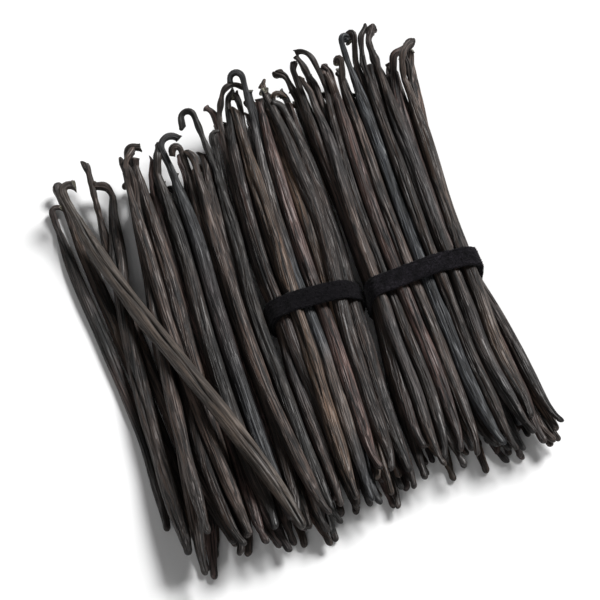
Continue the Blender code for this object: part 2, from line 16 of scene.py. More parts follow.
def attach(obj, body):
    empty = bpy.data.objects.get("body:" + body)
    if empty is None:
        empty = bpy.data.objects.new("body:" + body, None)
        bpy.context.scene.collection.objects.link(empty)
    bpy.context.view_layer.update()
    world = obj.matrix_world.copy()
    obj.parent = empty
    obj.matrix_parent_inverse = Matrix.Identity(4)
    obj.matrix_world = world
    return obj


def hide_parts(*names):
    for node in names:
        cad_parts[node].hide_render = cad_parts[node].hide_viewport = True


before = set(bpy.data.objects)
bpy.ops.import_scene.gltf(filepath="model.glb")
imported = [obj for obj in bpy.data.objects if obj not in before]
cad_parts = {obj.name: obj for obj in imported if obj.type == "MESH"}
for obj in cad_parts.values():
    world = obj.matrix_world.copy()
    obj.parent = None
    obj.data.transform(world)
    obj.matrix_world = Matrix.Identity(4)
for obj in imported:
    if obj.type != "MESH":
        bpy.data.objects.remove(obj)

bl_info = {
    "name": "Vanilla pods",
    "version": (1, 0, 0),
    "blender": (4, 5, 0),
    "location": "3D View > Sidebar > Vanilla pods",
    "description": "Builds a heap of cured vanilla pods, tied in bundles and loose",
    "category": "Add Mesh",
}

MM = 0.001

# Layout of the heap, the same as the fixed frame's
SEED = 11
FLATNESS = 1.38  # width over thickness of a pod
POD_WIDTHS = (4.9 * MM, 6.7 * MM)
TIP_TAPER = 0.14  # share of a pod's length that narrows towards the blossom end
STEM_TAPER = 0.17  # the same towards the stem
BLUNT = 0.02
TIP_SHARE = 0.55  # width at the blossom end, as a share of the pod's
STEM_SHARE = 0.5  # width of the stem, the same way
FLARE = 1.18  # how much the stem's cut end is wider than the stem
LAYER = 4.5 * MM
HOOK_TURNS = (10, 75)  # degrees
HOOK_FACINGS = (30, 200)  # degrees from +X towards up
HOOK_RADII = (1.8, 3.2)  # millimetres
HOOK_STEPS = 14
ACROSS_SPREAD = (0.04, 0.06)
ACROSS = (0.02, 0.98)
EDGE_ROOM = 0.06
BOW = 1.2 * MM

STRAP_WIDTH = 8.4 * MM
STRAP_THICKNESS = 1.0 * MM
GAP = 0.3 * MM
LAP_GAP = 0.15 * MM
LAP_RAMP = math.radians(14)
STRAP_OVERLAP = math.radians(75)
STRAPS = {  # name: (bundle, angle of the tip from +X, way round)
    "right_strap": ("right_bundle", math.radians(-25), -1),
    "left_strap": ("left_bundle", math.radians(205), 1),
}

STATIONS = (-110, -62, -40, -18, 15, 60, 100)
WALLS = {
    "outer_left": (-76.0, -68.5, -66.5, -65.0, -59.0, -54.0, -50.0),
    "loose_left": (-20.0, -20.6, -20.0, -19.0, -17.6, -13.5, -10.0),
    "left_right": (12.5, 14.3, 17.0, 19.3, 22.0, 21.5, 23.0),
    "outer_right": (71.5, 69.0, 67.5, 65.5, 66.5, 72.5, 79.0),
}

# Pods with a way of their own in plan, from stem to blossom end, in millimetres
CROSSING_WAY = ((-81, 70), (-68.5, 18), (-54.8, -37), (-33.8, -110))
EDGE_WAY = ((-83.4, 56), (-83.4, 43), (-82, 24), (-79.5, -6), (-77.5, -35), (-76.6, -53), (-79.6, -88))
FIRST_WAY = ((-78, 61), (-76, 33), (-74, 5), (-72, -28), (-70.5, -60), (-71, -105))
THIN_WAY = ((-65.4, 75), (-66.2, 58), (-67.7, 30), (-68, -10), (-64, -60), (-60, -105))
LONG_WAY = ((-58.6, 64), (-65.4, 29), (-72.8, -14), (-73.8, -53), (-76, -104))

# Settling
SLICE = 6 * MM
LOWEST_Y = -120 * MM
SLICES = 38
ROUNDS = 300
PULL = 0.03
OWN_WAY_PULL = 0.3
STIFFNESS = 0.3
OWN_WAY_STIFFNESS = 0.7
PUSH = 0.42
FALL = 0.35 * MM
LAST_FALL = 0.5
HELD_UP = (10 * MM, 55 * MM)
PACKING = 0.95
SECTION_SHARE = 0.92
TOP_POWER = 4.5
BOTTOM_POWER = 4.0
SQUEEZE = (8 * MM, 24 * MM)
SPREAD = 1.12
SUNK = 0.35 * MM
MIDDLE = (-5.63 * MM, -7.30 * MM)

# Middle line of a pod
FINE_STEP = 0.4 * MM  # spacing of the points that it is smoothed on
BODY_SMOOTHING = 9 * MM
JOIN_SMOOTHING = 1.5 * MM
STEM_SMOOTHING = 0.5 * MM
JOIN_BEFORE = 14 * MM
JOIN_AFTER = 5 * MM

# Shape of a pod's skin
SLIM = 0.86  # share of its width in the layout that it keeps, so that dark gaps stay open
WIDTH_WAVE = 0.035
TWIST = 0.12  # radians
SKIN_FLATNESS = 1.25  # width over thickness, wrinkled and slimmed
FLATNESS_VARIETY = (0.9, 1.15)
FLATNESS_WAVE = 0.1
FURROWS = {"count": 4, "depth": (0.3, 1.0), "width": 0.34, "wander": 0.2}  # width and wander in radians
WRINKLES = {"count": 17, "depth": (0.25, 1.0), "width": 0.1, "wander": 0.1}
PLUMPNESS = (0.5, 1.3)  # share of the furrows' full depth, from a plump pod to a shrunken one
RIDGES = (0.15, 0.3)  # how far the skin between furrows and between wrinkles stands out, as a share
FLOOR_CLEARANCE = 0.02 * MM

# Its blossom end
TIP_ROUND = 0.33  # length over which it rounds off, as a share of the pod's width
TIP_POINT = 0.1 * MM
TIP_NECK = (3.2, 5.5)  # millimetres from the end to its narrow neck
TIP_NECK_LENGTH = 2.2 * MM
TIP_PINCH = (0.05, 0.28)
TIP_SWAY = 1.3 * MM
TIP_SWAY_LENGTH = 11 * MM
SMOOTH_TIP = (0.4, 4 * MM)  # share of the relief at the very end, and the length over which it grows

# Its stem and the cut there
STEM_PART = (0.9, 0.12)  # where a pod turns into its stem and over how much, as shares of its length
STEM_FLATNESS = 1.12
STEM_KNOBS = 0.14
FLARE_LENGTH = 1.1 * MM
FLARE_VARIETY = (0.2, 3.0)
CUT_SLANT = (0.1, 0.8)
CUT_REACH = 3.0 * MM  # length over which the slant of the cut fades
CUT_RIMS = (0.72, 0.4)  # the rings inside the cut, as shares of its outer one
CUT_LIP = 0.02 * MM
CUT_HOLLOW = 0.3 * MM
CUT_MIDDLE = 1.3  # depth of the cut's middle, as a share of the hollow's

# Colour of a pod
SECOND_TONE = 0.55  # most of the second tone that a pod takes on
BRIGHTNESS = (0.7, 1.35)
PAINTED_TIP_SHADE = (0.5, 16 * MM)  # how much painted shade darkens the blossom end, and over what length
PAINTED_CREASE_SHADE = (0.75, 0.45)  # how much painted shade darkens a furrow and a wrinkle
GRAIN_SHIFT = 0.5  # metres by which pods' grains are set apart, so that no two are alike
CURED = (1.0, 0.3 * MM)  # strength of the streaks and depth of the fine wrinkles
PLUMP = (0.55, 0.12 * MM)
SMOOTHER = (0.9, 0.2 * MM)

# Detail of a pod
SHOWN_DETAIL = (46, 3.2 * MM)  # points round a pod, and spacing of its rings
LOWER_DETAIL = (22, 4.4 * MM)
HIDDEN_DETAIL = (12, 7.0 * MM)
SINGLE_DETAIL = (84, 1.4 * MM)
TOP_DENSITY = 0.42  # how much closer together the points are on a pod's upper side
STEM_STEP = 0.9 * MM
FEWEST_RINGS = (2, 5)  # along the pod and along its stem
TIP_RINGS = (0.12, 0.4, 0.85, 1.5, 2.4, 3.4, 4.5, 5.8, 7.3)  # millimetres from the blossom end
TIP_RINGS_WIDTH = 6.5 * MM  # width of the pod that those are for


@dataclass
class Group:
    """Pods between two walls, in layers of (count, first place, last place) across. `strap_y` is None
    where no strap ties them."""

    walls: tuple
    layers: tuple
    stem_ends: tuple
    tips: tuple
    strap_y: float = None
    strap_tilt: float = 0.0

    @property
    def tied(self):
        return self.strap_y is not None


GROUPS = {
    "right_bundle": Group(
        walls=("left_right", "outer_right"),
        layers=((8, 0.08, 0.92), (9, 0.03, 0.97), (9, 0.05, 0.95), (9, 0.03, 0.97), (9, 0.06, 0.94)),
        stem_ends=(73 * MM, 86 * MM),
        tips=(-102 * MM, -90 * MM),
        strap_y=-20.5 * MM,
        strap_tilt=0.05,
    ),
    "left_bundle": Group(
        walls=("loose_left", "left_right"),
        layers=((6, 0.1, 0.9), (8, 0.03, 0.97), (8, 0.05, 0.95), (7, 0.08, 0.92)),
        stem_ends=(68 * MM, 82 * MM),
        tips=(-107 * MM, -95 * MM),
        strap_y=-17.5 * MM,
        strap_tilt=-0.03,
    ),
    "loose_pods": Group(
        walls=("outer_left", "loose_left"),
        layers=((11, 0.02, 0.98), (10, 0.07, 0.98), (8, 0.28, 0.96)),
        stem_ends=(51 * MM, 64 * MM),
        tips=(-114 * MM, -102 * MM),
    ),
}


def walls_at(group, y):
    """X of the group's left and right wall at y."""
    return [np.interp(y / MM, STATIONS, WALLS[wall]) * MM for wall in group.walls]


@dataclass
class Stem:
    """A stem runs straight on from its pod, turns round an arc and ends straight. Lengths are in
    millimetres and angles in degrees."""

    at: tuple  # where it leaves the pod, in plan, or None
    lean: float  # its first direction, from +Y to the right; None carries on the pod's own
    rise: float  # the same from level
    straight: float
    turn: float
    facing: float  # the side that it turns to, from +X towards up
    radius: float
    stub: float = 2.2

    def line(self, start, ahead):
        """Points after `start`, where the pod ends, running in direction `ahead`."""
        lean, rise, facing, turn = np.radians([self.lean or 0, self.rise, self.facing, self.turn])
        if self.lean is not None:
            level = math.cos(rise)
            ahead = np.array([math.sin(lean) * level, math.cos(lean) * level, math.sin(rise)])
        side = np.array([math.cos(facing), 0, math.sin(facing)])
        side -= ahead * (side @ ahead)
        side /= np.linalg.norm(side)
        bend = start + self.straight * MM * ahead
        turns = np.linspace(0, turn, HOOK_STEPS + 1)[:, None]
        arc = bend + self.radius * MM * (np.sin(turns) * ahead + (1 - np.cos(turns)) * side)
        end = arc[-1] + self.stub * MM * (math.cos(turn) * ahead + math.sin(turn) * side)
        return np.vstack([arc if self.straight else arc[1:], end])


@dataclass
class Pod:
    """One pod before the heap settles, lying between its group's walls or, with `way`, along a line of its
    own in plan."""

    group: str
    width: float
    tip_y: float
    start_z: float
    stem: Stem
    stem_y: float = None
    across: tuple = (0.5, 0.5)  # at the blossom end and at the stem
    bow: float = 0.0
    way: tuple = None
    depth: int = 0  # 0 for a pod on the outside, 1 for one low down there and 2 for one inside

    def __post_init__(self):
        if not self.stem.at:
            return
        x, self.stem_y = np.multiply(self.stem.at, MM)
        if not self.way:
            left, right = walls_at(GROUPS[self.group], self.stem_y)
            self.across = (self.across[0], (x - left) / (right - left))


# Stems that curl in a way of their own, their numbers in the order of Stem's
STEMS = {  # group: {(layer, place in it): stem}
    "right_bundle": {
        (2, 1): Stem((33, 86), -21, 45, 4, 35, -90, 4.5, 3),
        (3, 0): Stem((26, 80), -14, 28, 8, 50, 225, 3, 2),
        (3, 1): Stem((25.5, 84), -11, 38, 4, 55, -50, 2.5, 2),
        (3, 3): Stem((38.5, 70), -10, 52, 6, 55, 275, 3, 5),
        (3, 5): Stem((52.5, 85.5), 15, 31, 11, 200, 220, 1.5, 2),
        (3, 7): Stem((62, 78.5), 16, 38, 5, 65, -10, 2.5, 5),
        (3, 8): Stem((64.5, 69.5), 10, 31, 7, 35, 195, 5, 1),
        (4, 0): Stem((17.5, 75.5), -25, 31, 5, 10, 30, 4, 2),
        (4, 1): Stem((33.5, 75.5), -12, 31, 12, 85, 240, 6.5, 1),
        (4, 3): Stem((41, 76), 13, 36, 9, 190, 225, 1.3, 1),
        (4, 4): Stem((48.5, 86.5), -2, 32, 8, 150, -35, 2, 1),
        (4, 5): Stem((54.5, 82), 12, 25, 10, 40, -40, 5, 4),
        (4, 7): Stem((61, 79.5), -2, 25, 10, 40, -30, 4, 4),
        (4, 8): Stem((71, 70), 12, 26, 7, 65, -40, 9, 0.5),
    },
    "left_bundle": {
        (2, 0): Stem((-12.5, 74.5), 0, 28, 4, 50, 175, 6, 1),
        (2, 5): Stem((15, 73), 11, 41, 7, 155, -5, 2, 1),
        (3, 0): Stem((-11.5, 76.5), 30, 41, 9, 105, -15, 5, 2),
        (3, 2): Stem((4, 73.5), 2, 33, 14, 180, 205, 2.7, 1),
        (3, 4): Stem((11.5, 75.5), 16, 35, 5, 30, 245, 3, 5),
    },
    "loose_pods": {
        (1, 0): Stem((-62, 53), -4, 28, 5, 30, 240, 3.5, 3),
        (1, 1): Stem((-54.5, 66.5), -6, 28, 5, 40, -35, 2, 0.5),
        (1, 2): Stem((-51.5, 66.5), 13, 52, 4, 100, 25, 2.5, 3),
        (1, 6): Stem((-27.5, 61), -10, 26, 4, 25, -30, 2, 3),
        (1, 7): Stem((-25, 54.5), -35, 25, 1.5, 105, 0, 3, 3),
        (1, 9): Stem((-14, 64), 2, 27, 6, 115, -10, 1.5, 0.5),
        (2, 0): Stem((-54, 53), 2, 44, 5, 65, -55, 7, 3),
        (2, 2): Stem((-44, 55), 6, 25, 7, 25, -35, 2, 6),
        (2, 3): Stem((-40.5, 60), 17, 28, 6, 20, -80, 2, 6),
        (2, 4): Stem((-34.5, 62), -14, 30, 7, 145, -10, 4.5, 1),
        (2, 5): Stem((-28.5, 58), -6, 33, 9, 165, 185, 1.8, 2),
        (2, 7): Stem((-20, 53.5), -4, 18, 26, 170, 195, 2.7, 4),
    },
}
CROSSING_STEM = Stem((-78, 57), -14, 26, 4, 135, -5, 3, 1)
EDGE_STEM = Stem((-83.5, 57.5), -3, 18, 5, 130, 5, 2, 1)
FIRST_STEM = Stem((-80.5, 63.5), -13, 26, 8, 80, -45, 1.6, 1)
THIN_STEM = Stem((-66.5, 54.5), 3, 17, 18, 10, 180, 2, 4)
LONG_STEM = Stem((-58.5, 60.5), -16, 27, 3, 60, 190, 3.5, 3)

# The pods with a way of their own
SINGLE_PODS = (
    Pod("crossing_pod", 7.6 * MM, -110 * MM, 22 * MM, way=CROSSING_WAY, stem=CROSSING_STEM),
    Pod("edge_pod", 5.8 * MM, -88 * MM, 3 * MM, way=EDGE_WAY, stem=EDGE_STEM),
    Pod("loose_pods", 6.2 * MM, -106 * MM, 4 * MM, way=FIRST_WAY, stem=FIRST_STEM),
    Pod("loose_pods", 6.0 * MM, -106 * MM, 5 * MM, way=THIN_WAY, stem=THIN_STEM),
    Pod("loose_pods", 7.0 * MM, -105 * MM, 12 * MM, way=LONG_WAY, stem=LONG_STEM),
)


def depth_of(group, layer, outer):
    """How deep in its group a pod lies: 0 on the outside, 1 low down there and 2 inside."""
    below = len(group.layers) - 1 - layer
    if below < 2:
        return 0
    if group.tied and not outer:
        return 2
    return 0 if below == 2 and group.tied else 1


def spread(layer):
    """Gives stems with no place of their own places between their neighbours', so that few pods cross."""
    places = np.arange(-1, len(layer) + 1)
    given = [(number, pod.across[1]) for number, pod in enumerate(layer) if pod.stem.at]
    anchors = [(-1, ACROSS[0] - EDGE_ROOM), *given, (len(layer), ACROSS[1] + EDGE_ROOM)]
    for pod, across in zip(layer, np.interp(places, *zip(*anchors))[1:]):
        if given and not pod.stem.at:
            pod.across = (pod.across[0], across)


def heap_pods():
    """Every pod of the heap, group by group, and then the single ones."""
    dice = np.random.default_rng(SEED)
    pods = []
    for name, group in GROUPS.items():
        for layer, (count, first, last) in enumerate(group.layers):
            begun = len(pods)
            for place, across in enumerate(np.linspace(first, last, count)):
                hook = [dice.uniform(*choice) for choice in (HOOK_TURNS, HOOK_FACINGS, HOOK_RADII)]
                pod = Pod(
                    group=name,
                    stem=STEMS[name].get((layer, place), Stem(None, None, 0, 0, *hook)),
                    width=dice.uniform(*POD_WIDTHS),
                    stem_y=dice.uniform(*group.stem_ends),
                    tip_y=dice.uniform(*group.tips),
                    start_z=(layer + 0.6) * LAYER,
                    across=tuple(across + dice.normal(0, ACROSS_SPREAD)),
                    bow=dice.normal(0, BOW),
                    depth=depth_of(group, layer, place in (0, count - 1)),
                )
                pods.append(pod)
            spread(pods[begun:])
    return pods + list(SINGLE_PODS)


def smooth_step(value):
    """Rises from 0 to 1 as the value does, levelling off at both ends."""
    value = np.clip(value, 0, 1)
    return value * value * (3 - 2 * value)


def width_share(along):
    """A pod's width as a share of its widest, at a place from 0, its blossom end, to 1, its stem."""
    blunt = np.sqrt(1 - (1 - np.clip(along / BLUNT, 0, 1)) ** 2)
    tip = blunt * (TIP_SHARE + (1 - TIP_SHARE) * smooth_step(along / TIP_TAPER))
    stem = STEM_SHARE + (1 - STEM_SHARE) * smooth_step((1 - along) / STEM_TAPER)
    return tip * stem


def squeeze_at(group, y):
    """How firmly the group's strap holds it at y, from 0 to 1."""
    near, far = SQUEEZE
    return smooth_step((far - np.abs(y - group.strap_y)) / (far - near))


def outline_at(name, y, pods):
    """Middle X, half width, lowest Z and half height of a tied bundle's outline at y."""
    group = GROUPS[name]
    left, right = walls_at(group, y)
    squeeze = squeeze_at(group, y)
    half_width = (right - left) / 2 - GAP - squeeze * (STRAP_THICKNESS + GAP)
    section = sum(math.pi / 4 * pod.width**2 / FLATNESS for pod in pods if pod.group == name)
    half_height = section / PACKING / SECTION_SHARE / (4 * half_width)
    half_height = half_height * (SPREAD - (SPREAD - 1) * squeeze)
    return (left + right) / 2, half_width, squeeze * (STRAP_THICKNESS + GAP), half_height


class Heap:
    """The pods' middles at slices along Y, as arrays of slices by pods, while they settle."""

    def __init__(self, pods):
        self.pods = pods
        self.y = LOWEST_Y + SLICE * np.arange(SLICES)
        tips = np.array([pod.tip_y for pod in pods])
        stems = np.array([pod.stem_y for pod in pods])
        rows = self.y[:, None]
        self.there = (rows > tips - SLICE / 2) & (rows < stems + SLICE / 2)
        along = np.clip((rows - tips) / (stems - tips), BLUNT, 1)
        self.half = np.array([pod.width for pod in pods]) / 2 * width_share(along)
        self.own_way = np.array([pod.way is not None for pod in pods])
        self.pull = np.where(self.own_way, OWN_WAY_PULL, PULL)
        self.stiffness = np.where(self.own_way, OWN_WAY_STIFFNESS, STIFFNESS)
        self.target = np.stack([self.plan_line(pod, along[:, j]) for j, pod in enumerate(pods)], axis=1)
        self.x = self.target.copy()
        self.z = np.array([pod.start_z for pod in pods]) + 0 * self.x
        self.floor = self.half / FLATNESS - SUNK
        begins, ends = HELD_UP
        self.fall = FALL * smooth_step((ends - np.abs(self.y)) / (ends - begins))[:, None]
        self.stiffener = np.stack([self.cubic_fit(there) for there in self.there.T])
        apart = ~np.eye(len(pods), dtype=bool)
        self.pairs = self.there[:, :, None] & self.there[:, None, :] & apart
        self.reach = self.half[:, :, None] + self.half[:, None, :]

    def plan_line(self, pod, along):
        """The X that the pod is drawn to at each slice."""
        if pod.way:
            xs, ys = np.transpose(pod.way[::-1]) * MM
            return np.interp(self.y, ys, xs)
        left, right = walls_at(GROUPS[pod.group], self.y)
        across = pod.across[0] + (pod.across[1] - pod.across[0]) * along
        return left + (right - left) * np.clip(across, *ACROSS) + pod.bow * np.sin(math.pi * along)

    def cubic_fit(self, there):
        """The matrix that replaces values on the slices of one pod by the cubic curve closest to them."""
        powers = np.vander(np.linspace(-1, 1, SLICES), 4) * there[:, None]
        return powers @ np.linalg.pinv(powers)

    def stiffen(self, values):
        """Draws each pod towards a smooth curve, because a pod bends only gently."""
        smooth = np.einsum("pij,jp->ip", self.stiffener, values * self.there)
        return np.where(self.there, values + self.stiffness * (smooth - values), values)

    def push_apart(self):
        """Moves pods that overlap away from each other."""
        dx = self.x[:, :, None] - self.x[:, None, :]
        dz = (self.z[:, :, None] - self.z[:, None, :]) * FLATNESS
        distance = np.sqrt(dx * dx + dz * dz) + 1e-7
        push = np.where(self.pairs, np.clip(self.reach - distance, 0, None), 0) * PUSH / distance
        self.x = self.x + (push * dx).sum(axis=2)
        self.z = self.z + (push * dz).sum(axis=2) / FLATNESS

    def confine(self, name):
        """Keeps a group inside its bundle's outline, or between its walls."""
        group = GROUPS[name]
        columns = np.array([pod.group == name for pod in self.pods]) & ~self.own_way
        x, z, half = self.x[:, columns], self.z[:, columns], self.half[:, columns]
        if group.tied:
            middle, half_width, lowest, half_height = (
                np.asarray(value)[:, None] for value in outline_at(name, self.y, self.pods)
            )
            centre = lowest + half_height
            across = (x - middle) / (half_width - half)
            up = (z - centre) / (half_height - half / FLATNESS)
            power = np.where(up > 0, TOP_POWER, BOTTOM_POWER)
            outside = np.maximum((np.abs(across) ** power + np.abs(up) ** power) ** (1 / power), 1)
            self.x[:, columns] = middle + (x - middle) / outside
            self.z[:, columns] = centre + (z - centre) / outside
        else:
            left, right = walls_at(group, self.y)
            right = right - (STRAP_THICKNESS + GAP) * squeeze_at(GROUPS["left_bundle"], self.y)
            self.x[:, columns] = np.clip(x, left[:, None] + half, right[:, None] - half)

    def settle(self):
        """Lets the pods sink and find their places."""
        for number in range(ROUNDS):
            calm = 1 - number / ROUNDS
            self.x = self.stiffen(self.x + self.pull * (self.target - self.x))
            self.z = self.stiffen(self.z - self.fall * (LAST_FALL + (1 - LAST_FALL) * calm))
            for _ in range(2):
                self.push_apart()
                for name in GROUPS:
                    self.confine(name)
                self.z = np.maximum(self.z, self.floor)

    def middle_line(self, number):
        """Points along the pod's middle, from blossom end to the cut of its stem, and how many of them are
        the pod's own."""
        pod = self.pods[number]
        there = self.there[:, number]
        inner = self.y[(self.y > pod.tip_y + MM) & (self.y < pod.stem_y - MM)]
        y = np.concatenate([[pod.tip_y], inner, [pod.stem_y]])
        x = np.interp(y, self.y[there], self.x[there, number])
        z = np.interp(y, self.y[there], self.z[there, number])
        body = np.stack([x, y, z], axis=1)
        ahead = body[-1] - body[-2]
        ahead /= np.linalg.norm(ahead)
        return np.concatenate([body, pod.stem.line(body[-1], ahead)]), len(body)


@functools.cache
def settled_heap():
    """The heap at rest, worked out once."""
    heap = Heap(heap_pods())
    heap.settle()
    return heap


# ---------------------------------------------------------------------------------------------------
# Pods


def resampled(at, places, values):
    """Rows of values, given at places along a line, at other places along it."""
    return np.stack([np.interp(at, places, axis) for axis in values.T], axis=1)


def spaced(points, step):
    """Even steps along a polyline, the points there, and how far along it each of its own points is."""
    lengths = np.concatenate([[0], np.cumsum(np.linalg.norm(np.diff(points, axis=0), axis=1))])
    places = np.linspace(0, lengths[-1], round(lengths[-1] / step) + 1)
    return places, resampled(places, lengths, points), lengths


def smoothed(points, reach):
    """Points of a line at even steps, each averaged with its neighbours within about `reach` steps."""
    far = int(3 * reach) + 1
    weights = np.exp(-0.5 * (np.arange(-far, far + 1) / reach) ** 2)
    weights /= weights.sum()
    before = 2 * points[0] - points[far:0:-1]
    after = 2 * points[-1] - points[-2 : -far - 2 : -1]
    padded = np.concatenate([before, points, after])
    return np.stack([np.convolve(axis, weights, "valid") for axis in padded.T], axis=1)


def slow_wave(dice, places, shortest, longest, count=3):
    """A gentle random wave along a pod, about -1 to 1."""
    total = 0
    for _ in range(count):
        length = dice.uniform(shortest, longest)
        total = total + np.sin(2 * math.pi * places / length + dice.uniform(0, 2 * math.pi))
    return total / math.sqrt(count)


def grooves(dice, around, places, count, depth, width, wander):
    """Grooves that run along the pod and wander a little: how deep it is there, 0 on the ridges between.
    Each groove deepens and fades along its length."""
    total = 0
    for number in range(count):
        middle = 2 * math.pi * (number + dice.uniform(-0.4, 0.4)) / count
        middle = middle + wander * slow_wave(dice, places, 30 * MM, 110 * MM)
        apart = np.abs((around - middle + math.pi) % (2 * math.pi) - math.pi)
        strength = dice.uniform(*depth)
        strength = strength * np.clip(0.65 + 0.6 * slow_wave(dice, places, 22 * MM, 90 * MM), 0, 1.3)
        total = np.maximum(total, strength * np.exp(-apart / (width * dice.uniform(0.6, 1.4))))
    return total


def carried_frames(points):
    """The line's direction, and a side and an up that turn no more than they must along it."""
    ahead = np.gradient(points, axis=0)
    ahead /= np.linalg.norm(ahead, axis=1)[:, None]
    side = np.empty_like(points)
    last = np.array([1.0, 0.0, 0.0])
    for i, direction in enumerate(ahead):
        last = last - direction * (last @ direction)
        last /= np.linalg.norm(last)
        side[i] = last
    return ahead, side, np.cross(side, ahead)


@dataclass
class Skin:
    """Points, faces and colours of one pod's skin."""

    points: np.ndarray
    faces: list
    place: np.ndarray  # each point on the pod laid out straight, for its grain
    tone: np.ndarray
    # painted shade in the creases, 1 on the ridges between them
    painted_crease_shade: np.ndarray


def ring_places(body, length, width, step):
    """How far along a pod its rings are."""
    tip = np.multiply(TIP_RINGS, MM) * width / TIP_RINGS_WIDTH
    run = np.linspace(tip[-1], body, max(FEWEST_RINGS[0], round((body - tip[-1]) / step)) + 1)[1:]
    stem = np.linspace(body, length, max(FEWEST_RINGS[1], round((length - body) / STEM_STEP)) + 1)[1:]
    return np.concatenate([tip, run, stem])


def pod_line(heap, number):
    """The pod's smooth middle line: places along it, the points there and the length of the pod alone."""
    points, own = heap.middle_line(number)
    places, fine, lengths = spaced(points, FINE_STEP)
    body = lengths[own - 1]
    broad, near, close = (
        smoothed(fine, reach / FINE_STEP) for reach in (BODY_SMOOTHING, JOIN_SMOOTHING, STEM_SMOOTHING)
    )
    join = smooth_step((places - body + JOIN_BEFORE) / JOIN_BEFORE)[:, None]
    stem = smooth_step((places - body) / JOIN_AFTER)[:, None]
    line = broad + join * (near - broad)
    return places, line + stem * (close - line), body


def pod_shape(pod, dice, stem_dice, s, body, length):
    """Half the pod's width, its flatness, its sway to the side and how much it is stem, at each ring."""
    along = np.clip(s / body, BLUNT, 1)
    half = pod.width / 2 * width_share(along) * (1 + WIDTH_WAVE * slow_wave(dice, s, 25 * MM, 80 * MM))
    begins, blend = STEM_PART
    stem = smooth_step((s - begins * body) / (blend * body))
    flare = (FLARE - 1) * stem_dice.uniform(*FLARE_VARIETY)
    half *= 1 + flare * smooth_step((s - length + FLARE_LENGTH) / FLARE_LENGTH)
    half *= 1 + STEM_KNOBS * slow_wave(stem_dice, s, 6 * MM, 16 * MM) * stem
    half *= np.sqrt(1 - (1 - np.clip(s / (TIP_ROUND * pod.width), 0, 1)) ** 2)
    neck = dice.uniform(*TIP_NECK) * MM
    half *= 1 - dice.uniform(*TIP_PINCH) * np.exp(-(((s - neck) / TIP_NECK_LENGTH) ** 2))
    flatness = SKIN_FLATNESS * dice.uniform(*FLATNESS_VARIETY)
    flatness = flatness + FLATNESS_WAVE * slow_wave(dice, s, 30 * MM, 80 * MM)
    flatness = flatness * (1 - stem) + STEM_FLATNESS * stem
    sway = TIP_SWAY * dice.normal() * np.clip(1 - s / TIP_SWAY_LENGTH, 0, 1) ** 2
    return half, flatness, sway, stem


def pod_colour(dice, s, tones):
    """The pod's colour at each ring, from two tones that mix along it, with painted shade towards the
    blossom end.
    """
    main, other = dice.choice(len(tones), 2, p=[weight for _, weight in tones])
    blend = SECOND_TONE * smooth_step(0.35 + 0.5 * slow_wave(dice, s, 40 * MM, 120 * MM))[:, None]
    colour = np.array(tones[main][0]) * (1 - blend) + np.array(tones[other][0]) * blend
    # Painted shade: darker towards the blossom end
    darker, length = PAINTED_TIP_SHADE
    return colour * dice.uniform(*BRIGHTNESS) * (1 - darker * smooth_step(1 - s / length))[:, None]


def ring_grid(rows, count):
    """Numbers of the points on `rows` rings of `count`, and of the next point round from each."""
    grid = np.arange(rows * count).reshape(rows, count)
    return grid, np.roll(grid, -1, axis=1)


